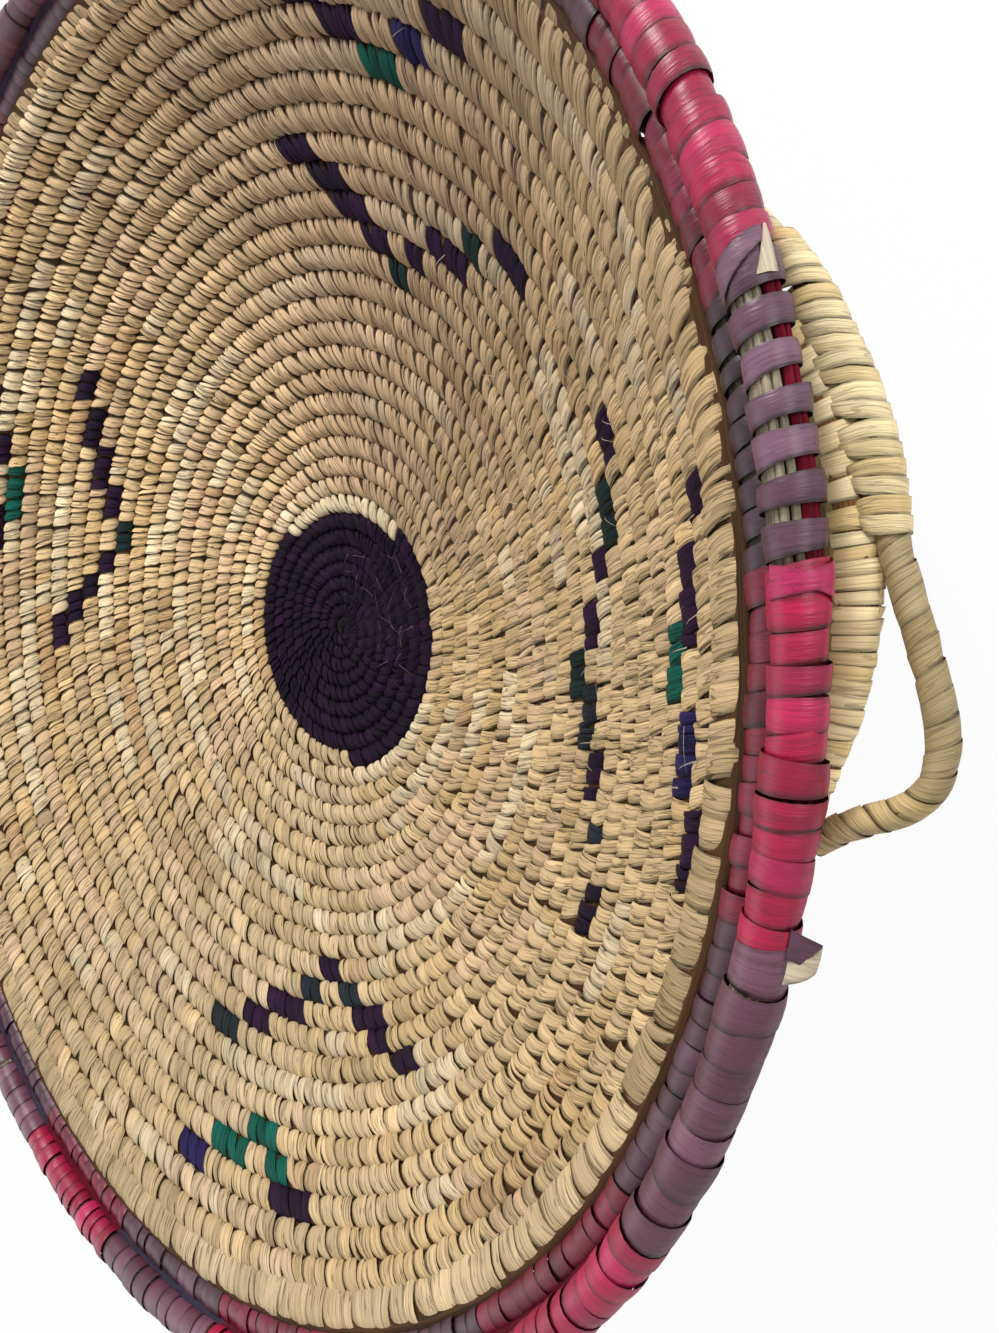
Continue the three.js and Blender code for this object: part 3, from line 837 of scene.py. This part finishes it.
# A wrap's grid, the share of a turn before its inner side where it starts, how its edges wave, and the crowns
# of wraps and loose strips
WRAP_ROUND = np.linspace(0.0, 1.0, 19)
WRAP_ACROSS = np.array([-1.0, -0.86, -0.3, 0.3, 0.86, 1.0])
WRAP_START = 0.125
WRAP_PINCH = 0.12
WRAP_WAVE = 0.12
WRAP_TILT = 0.1
WRAP_CROWN_POWER = 2.5
LOOSE_CROWN = 0.12


def wrap_grids(path, at, width, radius, lead, lift, crown, stretch=1.0, inner_stretch=1.0):
    """Strips wound round a path, one turn each.

    With b from 0 to 1 along the strip, it stands at the angle 2 pi (b - 1/8) about the path, from its inner
    side over its top, and moves on by lead times b - 1/2. Its distance from the path is the radius, a lift,
    a crown of 1 - |u|^2.5, a slow wave at the edges and a tilt that lets it lap over the strip before it.
    On its outer and inner sides it can be stretched.
    """
    count = len(at)
    shape = (count, len(WRAP_ROUND), len(WRAP_ACROSS))
    b = WRAP_ROUND[None, :, None]
    u = WRAP_ACROSS[None, None, :]
    turn = TAU * (b - WRAP_START)
    pinch = 1 - WRAP_PINCH * np.sin(TAU * b + per_strip(rng.random(count) * TAU))
    s = per_strip(at) + per_strip(lead) * (b - 0.5) + u * per_strip(width) / 2 * pinch
    wave = (WRAP_WAVE * np.sin(TAU * b * 2 + per_strip(rng.random(count) * TAU)) - WRAP_TILT) * u
    crowned = per_strip(crown) * (1 - np.abs(u) ** WRAP_CROWN_POWER)
    far = per_strip(radius) + per_strip(lift) + wave + crowned
    aside = far * np.cos(turn)
    aside = aside * np.where(aside < 0, per_strip(stretch), inner_stretch)
    uv = strip_map(u, per_strip(width), b * per_strip(radius) * TAU, shape)
    # The edge values are painted shade at the tucked and raised edges
    return path.place(s, aside, far * np.sin(turn)), uv, tucked(u, shape)


def parabola(values, t):
    """Drawn by t from the first of three values to the third: (1 - t)^2, 2 t (1 - t) and t^2 of them."""
    return values[:, 0] * (1 - t) ** 2 + values[:, 1] * 2 * t * (1 - t) + values[:, 2] * t ** 2


def loose_strips(name, path, rows, tint, material, lengthwise=False):
    """Strip ends that stand off a coil, one grid each, with one tint for all or one for each.

    A row gives a length along the path, an angle about it in degrees and a distance from it, each at the
    start, in the middle and at the end, and then the width at both ends. In between they follow a parabola.
    The width lies along the path, or across it when the strip itself runs lengthwise.
    """
    t = np.linspace(0.0, 1.0, 9)[None, :, None]
    u = np.array([-1.0, 0.0, 1.0])[None, None, :]
    rows = np.array(rows, float)[:, :, None, None]
    wide = rows[:, 9] * (1 - t) + rows[:, 10] * t
    far = parabola(rows[:, 6:9], t) + LOOSE_CROWN * (1 - u ** 2)
    about = np.radians(parabola(rows[:, 3:6], t)) + (u * wide / 2 / far if lengthwise else 0 * u)
    s = parabola(rows[:, 0:3], t) + (0 * u if lengthwise else u * wide / 2)
    points = path.place(s, far * np.cos(about), far * np.sin(about))
    uv = np.stack([about, s / 10.0] if lengthwise else [s / 10.0, about], axis=-1)
    # The edge values are painted shade at the tucked and raised edges
    grids = (points, uv, tucked(u, s.shape))
    strips_piece(name, grids, np.broadcast_to(tint, (len(rows), 3)), material)


# Rim

# Wraps: room for a magenta strip, how far a strip lies under the coil's radius and how far strips differ
MAGENTA_ROOM = 4.6
WRAP_SINK = 0.2
WRAP_SHIFT = 0.4
WRAP_LIFT = 0.05
WRAP_SPREAD = 0.12
WRAP_SHADE = 0.08
WRAP_CROWN = (0.06, 0.24)
MAUVE_ROUGHNESS = 1.5
MAGENTA_ROUGHNESS = 2.0

# Share of its room that a strip fills, by band
OPEN_SHARE = (0.64, 0.78)
CLOSED_SHARE = (1.02, 1.18)
MAGENTA_SHARE = (0.93, 1.13)

# What the closed mauve bands and the magenta ones make of their dyes
CLOSED_DYE = np.array([1.0, 0.82, 0.84])
MAGENTA_DYE = 0.9

# Strands: sections and sides, how far they lie under the coil's radius, how they sway and waver, and the
# share of the way out from the coil's middle, with its spread, past which they are crimson
STRAND_SECTIONS = 260
STRAND_SIDES = 5
STRAND_DEPTH = 0.85
STRAND_SWAY = 0.14
STRAND_SWAYS = (3, 9)
STRAND_WAVER = 0.12
CRIMSON_FROM = (0.6, 0.2)

# Sewing between the rim coils, and the map of both it and the strands along the rim
RIM_SEAM_SECTIONS = 240
RIM_SEAM_SIDES = 6
RIM_SEAM_RADIUS = 2.0
RIM_MAP = 19.0


def band_angles():
    """Angles where the bands of rim wraps begin and end, in degrees, going round with the coil."""
    parts = [np.linspace(BAND_EDGES[k], BAND_EDGES[k + 1], BANDS_BETWEEN[k] + 1)[:-1]
             for k in range(len(BANDS_BETWEEN))]
    return np.concatenate(parts + [[BAND_EDGES[-1]]])


def by_band(angle, under_mauve, under_magenta):
    """One colour where the band at an angle is mauve, and another where it is magenta."""
    edges = band_angles()
    band = np.searchsorted(edges[0] - edges, (edges[0] - np.degrees(angle)) % 360.0, side="right") - 1
    return np.where(band[..., None] % 2 == 0, under_mauve, under_magenta)


def rim_wraps(name, rim, mauve_room, shade, cover, lay):
    """The dyed wraps of one rim coil: mauve and magenta bands in turn, each of whole strips.

    mauve_room is the room for a mauve strip. shade is 1 for the outer coil and less for the inner coil, whose
    tints it darkens as painted shade, since that coil lies under the outer one. cover adds to the share of
    its room that a strip fills, and lay is the share of its room by which a strip moves on in its turn. Only
    the mauve band by the near handle is open, with the bundle seen between its strips. The other mauve bands
    are closed, with a redder dye and a weaker shade.
    """
    ring_radius, height, radius = rim
    path = ring_path(ring_radius, height)
    edges = -np.radians(band_angles()) * ring_radius
    bands = []
    for band in range(BAND_COUNT):
        length = edges[band + 1] - edges[band]
        count = round(length / (mauve_room if band % 2 == 0 else MAGENTA_ROOM))
        places = edges[band] + (np.arange(count) + 0.5) * length / count
        bands.append((places + rng.uniform(-WRAP_SHIFT, WRAP_SHIFT, count), np.full(count, length / count)))
    for first, dye in enumerate(("mauve", "magenta")):
        at, room = (np.concatenate(values) for values in zip(*bands[first::2]))
        count = len(at)
        open_band = at < OPEN_BAND_END
        if dye == "mauve":
            rough, clear, milky = MAUVE_ROUGHNESS, MAUVE, LILAC
            share = np.where(open_band, rng.uniform(*OPEN_SHARE, count), rng.uniform(*CLOSED_SHARE, count))
            # Tints darken by depth: in the open band by the shade alone, which on the inner coil is painted
            # shade
            depth = np.where(open_band[:, None], shade, CLOSED_DYE * shade ** 0.5)
        else:
            rough, clear, milky = MAGENTA_ROUGHNESS, MAGENTA, ROSE
            share = rng.uniform(*MAGENTA_SHARE, count)
            # Magenta takes its dye's share and a weaker shade, which on the inner coil is painted shade
            depth = MAGENTA_DYE * shade ** 0.7
        lead = -room * rng.normal(lay, WRAP_SPREAD * rough, count)
        lift = rng.normal(WRAP_LIFT, WRAP_SPREAD * rough, count)
        crown = rng.uniform(*WRAP_CROWN, count) + cover
        grids = wrap_grids(path, at, room * (share + cover), radius - WRAP_SINK, lead, lift, crown)
        mix = rng.random((count, 1)) ** 2
        tints = (clear * (1 - mix) + milky * mix) * rng.normal(1.0, WRAP_SHADE * rough, (count, 1)) * depth
        nodes = [f"{name}_wrap_{band + 1:02d}" for band in range(first, BAND_COUNT, 2)]
        strips_piece(f"{name}_{dye}_wraps", grids, tints, RIM_LEAF, nodes)


def rim_strands(name, rim, count, strand, shade, node_name):
    """The bundle in a rim coil: thin strands side by side round its section, which sway a little.

    Under the mauve bands they are crimson outside and cream inside, and under the magenta bands a crimson
    darkened by painted shade. shade darkens them all; below 1, for the inner coil, it is painted shade.
    """
    ring_radius, height, radius = rim
    angle = -circle(STRAND_SECTIONS)[None, :, None]
    first = per_strip(circle(count))
    sways = rng.integers(*STRAND_SWAYS, (count, 1, 1))
    about = first + STRAND_SWAY * np.sin(angle * sways + rng.random((count, 1, 1)) * TAU)
    far = radius - STRAND_DEPTH - strand + STRAND_WAVER * np.sin(angle * 7 + first * 5)
    c = circle(STRAND_SIDES)[None, None, :]
    out = ring_radius + far * np.cos(about) + strand * np.cos(c)
    up = height + far * np.sin(about) + strand * np.sin(c)
    outer = np.cos(first[:, 0]) > rng.normal(*CRIMSON_FROM, (count, 1))
    tints = np.where(outer, CRIMSON, CREAM * 0.8) * rng.normal(1.0, FIBRE_SHADE, (count, 1)) * shade
    colours = by_band(angle, tints[:, None, None, :], CRIMSON * 0.3)
    bundle_piece(name, round_axis(out, angle, up), c + first, angle * RIM_MAP, colours, ring=True,
                 nodes=[node_name])


def rim_seam(name):
    """The sewing between the two rim coils: a thin round coil that fills the groove where they touch.

    It takes the dye of the bands beside it, darkened as painted shade in the groove.
    """
    angle = -circle(RIM_SEAM_SECTIONS)[None, :, None]
    c = circle(RIM_SEAM_SIDES)[None, None, :]
    out = (INNER_RIM[0] + OUTER_RIM[0]) / 2 + RIM_SEAM_RADIUS * np.cos(c)
    up = (INNER_RIM[1] + OUTER_RIM[1]) / 2 + RIM_SEAM_RADIUS * np.sin(c)
    colours = by_band(angle, MAUVE_IN_SHADE * 0.9, CRIMSON * 0.4)
    bundle_piece(name, round_axis(out, angle, up), c, angle * RIM_MAP, colours, ring=True)


# Strip ends on the outer rim: a knot where the near magenta band begins, a curled end where it stops, and a
# folded strip beside a bare patch of the bundle where the mauve band before it begins
KNOT_STRIPS = [(8.6, 10.2, 11.6, 215, 150, 40, 4.5, 6.0, 4.4, 3.2, 2.6),
               (12.6, 9.8, 9.0, 205, 140, 60, 4.5, 5.8, 4.5, 2.0, 2.8)]
CURL_STRIPS = [(60.6, 61.2, 62.0, 150, 172, 184, 4.6, 6.4, 7.8, 4.4, 4.0),
               (62.0, 63.4, 65.2, 184, 180, 156, 7.8, 7.6, 4.7, 4.0, 3.6)]
BARE_PATCH = [(-38.6, -35.5, -31.5, 160, 152, 140, 4.7, 4.95, 4.75, 0.6, 3.4)]
FOLD_STRIPS = [(-37.4, -36.0, -32.6, 150, 105, 40, 4.7, 5.2, 4.7, 2.2, 5.0)]
BARE_BUNDLE = CREAM * 0.75

# The inner coil's shade and its strands' shade are painted shade: it lies under the outer coil
rim_wraps("inner_rim", INNER_RIM, mauve_room=4.6, shade=0.27, cover=0.05, lay=1.2)
rim_wraps("outer_rim", OUTER_RIM, mauve_room=6.3, shade=1.0, cover=0.0, lay=0.42)
outer_ring = ring_path(*OUTER_RIM[:2])
loose_strips("rim_bare_patch", outer_ring, BARE_PATCH, BARE_BUNDLE, RIM_LEAF, lengthwise=True)
loose_strips("rim_fold", outer_ring, FOLD_STRIPS, LILAC, RIM_LEAF)
loose_strips("rim_knot", outer_ring, KNOT_STRIPS, VIOLET, RIM_LEAF)
loose_strips("rim_curl", outer_ring, CURL_STRIPS, np.stack([MAUVE, BARE_BUNDLE]), RIM_LEAF)
rim_strands("inner_rim_strands", INNER_RIM, count=16, strand=0.85, shade=0.25, node_name="inner_rim_core")
rim_strands("outer_rim_strands", OUTER_RIM, count=18, strand=0.66, shade=1.0, node_name="outer_rim_core")
rim_seam("rim_seam")

# Handles

# Routes of the rod and the bow: angle, out and up from the outer rim
ROD_ROUTE = np.array([
    (13.4, 0.8, -6.3), (11.2, 3.2, -7.2), (8.8, 5.6, -7.6), (6.5, 7.1, -8.2), (4.2, 8.7, -8.6),
    (1.5, 9.9, -8.8), (-1.6, 10.2, -8.8), (-3.4, 11.6, -8.6), (-6.2, 14.4, -8.4), (-8.4, 16.6, -8.2),
    (-9.8, 17.2, -8.0), (-11.1, 16.2, -7.8), (-12.1, 13.0, -7.6), (-12.8, 8.6, -7.4), (-13.5, 4.8, -7.2),
    (-14.4, 1.6, -7.0)])
BOW_ROUTE = np.array([
    (9.0, 0.5, -6.3), (3.5, 2.7, -8.8), (-2.0, 3.4, -9.3), (-7.5, 2.4, -8.6), (-13.0, 0.5, -6.3)])
ROUTE_STEPS = 24
ROD_RADIUS = 2.35
ROD_TIP_RADIUS = 1.2
ROD_TIP_SHARE = 0.06
BOW_RADIUS = 3.2
BOW_END_RADIUS = 2.0
BOW_POWER = 0.6
BOW_STRETCH = 0.75
BOW_INNER_STRETCH = 1.4
SEAM_RADIUS = 1.6
SEAM_SHIFT = (0.0, -1.5, 1.6)

# The bundles inside: sections, sides, how far they lie under the wraps, length and least size of the pointed
# ends, and map
TUBE_SECTIONS = 120
TUBE_SIDES = 8
TUBE_DEPTH = 0.3
TUBE_TIP = 0.6
TUBE_POINT = 0.02
TUBE_MAP = 1.2

# All wraps: where the first one lies, how far they lie under the radius, are shifted and differ in shade
FIRST_PLACE = 1.5
HANDLE_SINK = 0.15
HANDLE_SHIFT = 0.2
HANDLE_SHADE = 0.06

# The bow's wraps: share of its length where they are loose, room, share of it that is filled, lead and relief
LOOSE_PART = 0.48
LOOSE_ROOM = 3.9
LOOSE_FILL = (0.76, 1.0)
CLOSE_ROOM = 2.1
CLOSE_FILL = (0.98, 1.16)
BOW_LEAD = (0.6, 2.0)
BOW_LIFT_SPREAD = 0.06
BOW_CROWN = (0.03, 0.1)
# Share by which the bow's tints are lightened: painted light against the rim's shadow on the bow
BOW_PAINTED_LIGHT = 1.22
LOOSE_END = [(34.0, 40.0, 46.0, 160, 165, 160, 5.0, 5.9, 5.6, 1.4, 0.15)]

# The rod's wraps: length of rod that is bound to the bow, room, fill, lead, relief and tint, which is
# darkened by painted shade and made lighter at the end, partly lighter straw and partly painted light
BOUND_LENGTH = 54.0
ROD_ROOM = 3.5
ROD_FILL = (0.95, 1.2)
ROD_LEAD = 1.5
ROD_LIFT = (0.02, 0.04)
ROD_CROWN = (0.0, 0.05)
ROD_SHADED_TINT = HONEY * 0.31
ROD_TINT_SPREAD = 0.2
PALE_LENGTH = 20.0
PALER_AND_LIT = 0.6

# The ties: room, fill, shift along the rod, shape, slant along the rod, and how far ties and strips differ
TIE_ROOM = 5.4
TIE_FILL = (0.88, 1.1)
TIE_SHIFT = 0.35
TIE_LIFT = 0.35
TIE_TIP = 0.62
TIE_DRAW = 0.45
TIE_DRAWN_PART = (0.6, 1.0)
TIE_CROWN = 0.05
TIE_TILT = 0.16
TIE_SLANT_AT = [0.0, 30.0, BOUND_LENGTH]
TIE_SLANTS = [-4.5, -3.2, -0.4]
TIE_SLANT_SPREAD = 0.12
TIE_LIFT_SPREAD = 0.05
TIE_STRIP_LIFT_SPREAD = 0.04
TIE_BITE = (1.7, 0.4)
TIE_STRIP_BITE_SPREAD = 0.15


def handle_route(route, turned):
    """A smooth line through a route given by angle, out and up from the outer rim: a centripetal spline."""
    p = round_axis(OUTER_RIM[0] + route[:, 1], np.radians(route[:, 0]) + turned, OUTER_RIM[1] + route[:, 2])
    p = np.concatenate([[2 * p[0] - p[1]], p, [2 * p[-1] - p[-2]]])
    knots = np.concatenate([[0.0], np.cumsum(np.linalg.norm(np.diff(p, axis=0), axis=1) ** 0.5)])
    pieces = []
    for k in range(1, len(p) - 2):
        t = np.linspace(knots[k], knots[k + 1], ROUTE_STEPS, endpoint=False)[:, None]
        t0, t1, t2, t3 = knots[k - 1:k + 3]
        a1 = (t1 - t) / (t1 - t0) * p[k - 1] + (t - t0) / (t1 - t0) * p[k]
        a2 = (t2 - t) / (t2 - t1) * p[k] + (t - t1) / (t2 - t1) * p[k + 1]
        a3 = (t3 - t) / (t3 - t2) * p[k + 1] + (t - t2) / (t3 - t2) * p[k + 2]
        b1 = (t2 - t) / (t2 - t0) * a1 + (t - t0) / (t2 - t0) * a2
        b2 = (t3 - t) / (t3 - t1) * a2 + (t - t1) / (t3 - t1) * a3
        pieces.append((t2 - t) / (t2 - t1) * b1 + (t - t1) / (t2 - t1) * b2)
    return Path(np.concatenate(pieces + [p[-2:-1]]))


def handle_tints(count):
    """Tints of handle strips, between pale and honey."""
    mix = rng.random((count, 1)) ** 1.5
    return (PALE * (1 - mix) + HONEY * mix) * rng.normal(1.0, HANDLE_SHADE, (count, 1))


def rod_radius_at(share):
    """Radius of the rod: it thins towards its first end, which is tucked under the rim."""
    return ROD_RADIUS - (ROD_RADIUS - ROD_TIP_RADIUS) * np.maximum(1 - share / ROD_TIP_SHARE, 0.0)


def bow_radius_at(share):
    """Radius of the bow: full in the middle and thin at both ends."""
    fullness = np.sin(math.pi * np.clip(share, 0, 1)) ** BOW_POWER
    return BOW_END_RADIUS + (BOW_RADIUS - BOW_END_RADIUS) * fullness


def seam_radius_at(share):
    """Radius of the seam beside the bow: the same all along."""
    return np.full_like(share, SEAM_RADIUS)


def inner_tube(name, path, radius_at, depth, stretch, tint):
    """A bundle along a path, a depth under its radius: a tube, stretched outwards, with pointed ends."""
    s = np.linspace(0.0, path.length, TUBE_SECTIONS)[None, :, None]
    share = s / path.length
    a = circle(TUBE_SIDES)[None, None, :]
    far = (radius_at(share) - depth) * np.clip(np.minimum(s, path.length - s) / TUBE_TIP, TUBE_POINT, 1.0)
    wider = np.where(np.cos(a) < 0, 1 + stretch * np.sin(math.pi * share), 1.0)
    points = path.place(s + 0 * a, far * np.cos(a) * wider, far * np.sin(a))
    bundle_piece(name, points, a * TUBE_MAP, s / 10.0, tint)


def tie_grids(rod, at, aside, width, slant, lift, bite):
    """Strips that bind the rod to the bow beside it.

    They follow strip_section round the rod and bite over the bow. The strips of one stitch lie side by side,
    each its own distance from the stitch's middle, and draw together at the tip.
    """
    shape = (len(at), len(SECTION), len(ACROSS))
    beta = SECTION[None, :, None]
    a = np.abs(beta) * math.pi
    u = ACROSS[None, None, :]
    w, half_slant = per_strip(width), -0.5 * per_strip(slant)
    radius = rod_radius_at(per_strip(at) / rod.length) + TIE_LIFT
    along, rise = strip_section(beta, radius, per_strip(bite), radius, TIE_TIP)
    drawn = 1 - TIE_DRAW * ramp(beta, *TIE_DRAWN_PART)
    lean = np.where(beta >= 0, half_slant * np.cos(a), half_slant)
    widths = np.interp(beta, WIDTH_AT, TIE_WIDTHS)
    s = per_strip(at) + per_strip(aside) * drawn + lean + u * 0.5 * w * widths
    grow = 1 + (TIE_CROWN * (1 - np.abs(u) ** CROWN_POWER) - TIE_TILT * u + per_strip(lift)) / radius
    points = rod.place(s, -along * grow, rise * grow)
    length = np.arange(1, len(SECTION) + 1)[None, :, None] * SECTION_LENGTH
    # The edge values are painted shade at the tucked and raised edges
    return points, strip_map(u, w, length, shape), tucked(u, shape)


def bow_strips(name, bow):
    """The bow's wraps: loose strips with gaps up to its middle, then narrow close ones."""
    loose = np.arange(FIRST_PLACE, bow.length * LOOSE_PART, LOOSE_ROOM)
    close = np.arange(loose[-1] + (LOOSE_ROOM + CLOSE_ROOM) / 2, bow.length, CLOSE_ROOM)
    at = np.concatenate([loose, close])
    count = len(at)
    share = at / bow.length
    width = np.concatenate([LOOSE_ROOM * rng.uniform(*LOOSE_FILL, len(loose)),
                            CLOSE_ROOM * rng.uniform(*CLOSE_FILL, len(close))])
    at = at + rng.uniform(-HANDLE_SHIFT, HANDLE_SHIFT, count)
    lead = -rng.uniform(*BOW_LEAD, count)
    lift = rng.normal(0.0, BOW_LIFT_SPREAD, count)
    crown = rng.uniform(*BOW_CROWN, count)
    stretch = 1 + BOW_STRETCH * np.sin(math.pi * share)
    grids = wrap_grids(bow, at, width, bow_radius_at(share) - HANDLE_SINK, lead, lift, crown, stretch,
                       BOW_INNER_STRETCH)
    # Painted light: lightened against the rim's shadow
    tints = handle_tints(count) * BOW_PAINTED_LIGHT
    strips_piece(name + "_bow_wraps", grids, tints, HANDLE_LEAF, [name + "_bow"])


def rod_strips(name, rod):
    """The free loop's wraps: close shiny strips with a steep lead.

    They begin under the last tie. Their tint is darkened by painted shade, and where the loop goes back under
    the rim they are lighter: partly lighter straw, partly painted light against the shadow there.
    """
    first = BOUND_LENGTH - ROD_ROOM
    count = round((rod.length - first) / ROD_ROOM)
    room = (rod.length - first) / count
    at = first + (np.arange(count) + 0.5) * room + rng.uniform(-HANDLE_SHIFT, HANDLE_SHIFT, count)
    width = room * rng.uniform(*ROD_FILL, count)
    lift = rng.normal(*ROD_LIFT, count)
    crown = rng.uniform(*ROD_CROWN, count)
    grids = wrap_grids(rod, at, width, ROD_RADIUS - HANDLE_SINK, -room * ROD_LEAD, lift, crown)
    pale_start = rod.length - PALE_LENGTH
    paler_and_lit = 1 + PALER_AND_LIT * ramp(at, pale_start, pale_start + ROD_ROOM)[:, None]
    # Painted shade in the tint; painted light, with lighter straw, at the end
    tints = (handle_tints(count) * ROD_TINT_SPREAD + ROD_SHADED_TINT) * paler_and_lit
    strips_piece(name + "_rod_wraps", grids, tints, HANDLE_LEAF, [name + "_rod"])


def tie_strips(name, rod):
    """The stitches that bind the rod to the bow, each of two strips side by side."""
    at = np.arange(FIRST_PLACE, BOUND_LENGTH - FIRST_PLACE, TIE_ROOM)
    ties = len(at)
    count = 2 * ties
    at = np.repeat(at + rng.uniform(-TIE_SHIFT, TIE_SHIFT, ties), 2)
    aside = TIE_ROOM / 4 * np.tile([-1.0, 1.0], ties)
    lift = np.repeat(rng.normal(0.0, TIE_LIFT_SPREAD, ties), 2)
    lift = lift + rng.normal(0.0, TIE_STRIP_LIFT_SPREAD, count)
    bite = np.repeat(rng.normal(*TIE_BITE, ties), 2) + rng.normal(0.0, TIE_STRIP_BITE_SPREAD, count)
    slant = np.interp(at, TIE_SLANT_AT, TIE_SLANTS) * rng.normal(1.0, TIE_SLANT_SPREAD, count)
    width = TIE_ROOM / 2 * rng.uniform(*TIE_FILL, count)
    grids = tie_grids(rod, at, aside, width, slant, lift, bite)
    strips_piece(name + "_tie_strips", grids, handle_tints(count), HANDLE_LEAF,
                 [f"{name}_binding_{k}" for k in (1, 2, 3)])


def handle(name, turned):
    """One handle: the bow's wraps, the rod's wraps, the strips that tie the two, and the bundles inside.

    A seam beside the bow fills the groove between it and the rim.
    """
    rod = handle_route(ROD_ROUTE, turned)
    bow = handle_route(BOW_ROUTE, turned)
    seam = handle_route(BOW_ROUTE + np.array(SEAM_SHIFT), turned)
    inner_tube(name + "_seam", seam, seam_radius_at, depth=0.0, stretch=0.0, tint=HONEY * 0.5)
    inner_tube(name + "_rod_bundle", rod, rod_radius_at, TUBE_DEPTH, stretch=0.0, tint=BARK)
    inner_tube(name + "_bow_bundle", bow, bow_radius_at, TUBE_DEPTH, BOW_STRETCH, tint=BARK * 1.5)
    bow_strips(name, bow)
    rod_strips(name, rod)
    tie_strips(name, rod)
    loose_strips(name + "_loose_strip", bow, LOOSE_END, HONEY * 0.9, HANDLE_LEAF)


handle("near_handle", 0.0)
handle("far_handle", math.pi)

# Floor, light and camera, in metres

FLOOR_HALF = 4.0
FLOOR_DROP = 0.0002
FLOOR_GLOW = 0.95
SKY_LIGHT = 0.32
SKY_SEEN = 1.0
CAMERA_LENS = 24.77
CAMERA_PLACE = (0.2460, -0.0180, 0.2007)
CAMERA_RIGHT = (0.7445, -0.0944, -0.6610)
CAMERA_BACK = (0.6639, 0.0, 0.7478)

scene = bpy.context.scene


def floor_material():
    """Plain white floor: the camera sees it nearly white, with the object's soft shadow left on it."""
    material = bpy.data.materials.new("pale_floor")
    material.use_nodes = True
    tree = material.node_tree
    surface = tree.nodes["Principled BSDF"]
    surface.inputs["Base Color"].default_value = (0.88, 0.88, 0.88, 1.0)
    surface.inputs["Roughness"].default_value = 0.9
    glow = node(tree, "ShaderNodeEmission", (0, -300), in_Color=(1.0, 1.0, 1.0, 1.0), in_Strength=1.0)
    seen = node(tree, "ShaderNodeLightPath", (-400, 300))
    mix = node(tree, "ShaderNodeMixShader", (250, 100))
    link = tree.links.new
    link(maths(tree, (-200, 300), "MULTIPLY", seen.outputs["Is Camera Ray"], FLOOR_GLOW), mix.inputs["Fac"])
    link(surface.outputs[0], mix.inputs[1])
    link(glow.outputs[0], mix.inputs[2])
    link(mix.outputs[0], tree.nodes["Material Output"].inputs["Surface"])
    return material


floor_mesh = bpy.data.meshes.new("floor")
floor_corners = [(-FLOOR_HALF, -FLOOR_HALF, -FLOOR_DROP), (FLOOR_HALF, -FLOOR_HALF, -FLOOR_DROP),
                 (FLOOR_HALF, FLOOR_HALF, -FLOOR_DROP), (-FLOOR_HALF, FLOOR_HALF, -FLOOR_DROP)]
floor_mesh.from_pydata(floor_corners, [], [(0, 1, 2, 3)])
floor_mesh.materials.append(floor_material())
floor = bpy.data.objects.new("floor", floor_mesh)
scene.collection.objects.link(floor)


def studio_sky():
    """A dim sky for the light, which the camera, reflections and rays through clear matter see bright."""
    world = bpy.data.worlds.new("studio")
    world.use_nodes = True
    tree = world.node_tree
    back = tree.nodes["Background"]
    back.inputs["Color"].default_value = (1.0, 0.99, 0.97, 1.0)
    rays = node(tree, "ShaderNodeLightPath", (-600, 300)).outputs
    glossy = maths(tree, (-400, 300), "MAXIMUM", rays["Is Glossy Ray"], rays["Is Transmission Ray"])
    bright = maths(tree, (-300, 300), "MAXIMUM", rays["Is Camera Ray"], glossy)
    strength = node(tree, "ShaderNodeMix", (-200, 200), in_2=SKY_LIGHT, in_3=SKY_SEEN)
    tree.links.new(bright, strength.inputs[0])
    tree.links.new(strength.outputs[0], back.inputs["Strength"])
    return world


scene.world = studio_sky()


def unit(vector):
    """A vector's direction."""
    return np.asarray(vector, float) / np.linalg.norm(vector)


def stand(name, data, place, right, back):
    """An object at a place, turned so that its right and its back point in two directions."""
    pose = np.eye(4)
    pose[:3] = np.stack([right, np.cross(back, right), back, place], axis=1)
    holder = bpy.data.objects.new(name, data)
    holder.matrix_world = Matrix(pose.tolist())
    scene.collection.objects.link(holder)
    return holder


def soft_light(name, place, target, size, power, colour):
    """A square area lamp at a place that faces a target."""
    lamp = bpy.data.lights.new(name, "AREA")
    lamp.shape = "SQUARE"
    lamp.size = size
    lamp.energy = power
    lamp.color = colour
    back = unit(np.subtract(place, target))
    stand(name, lamp, place, unit(np.cross((0.0, 0.0, 1.0), back)), back)


soft_light("key", (0.05, 1.05, 0.85), (0.0, 0.0, 0.02), size=0.45, power=17.5, colour=(1.0, 0.98, 0.95))
soft_light("left_fill", (-0.95, -0.2, 0.85), (0.0, 0.0, 0.03), size=1.0, power=4.5, colour=(0.98, 0.98, 1.0))
soft_light("right_fill", (1.0, 0.25, 0.55), (0.2, 0.0, 0.07), size=0.6, power=4.5, colour=(1.0, 0.99, 0.97))

camera = bpy.data.cameras.new("camera")
camera.sensor_width = 36.0
camera.lens = CAMERA_LENS
camera.clip_start = 0.01
camera_right = unit(CAMERA_RIGHT)
camera_back = unit(CAMERA_BACK - camera_right * np.dot(CAMERA_BACK, camera_right))
scene.camera = stand("camera", camera, CAMERA_PLACE, camera_right, camera_back)
scene.view_settings.view_transform = "Standard"
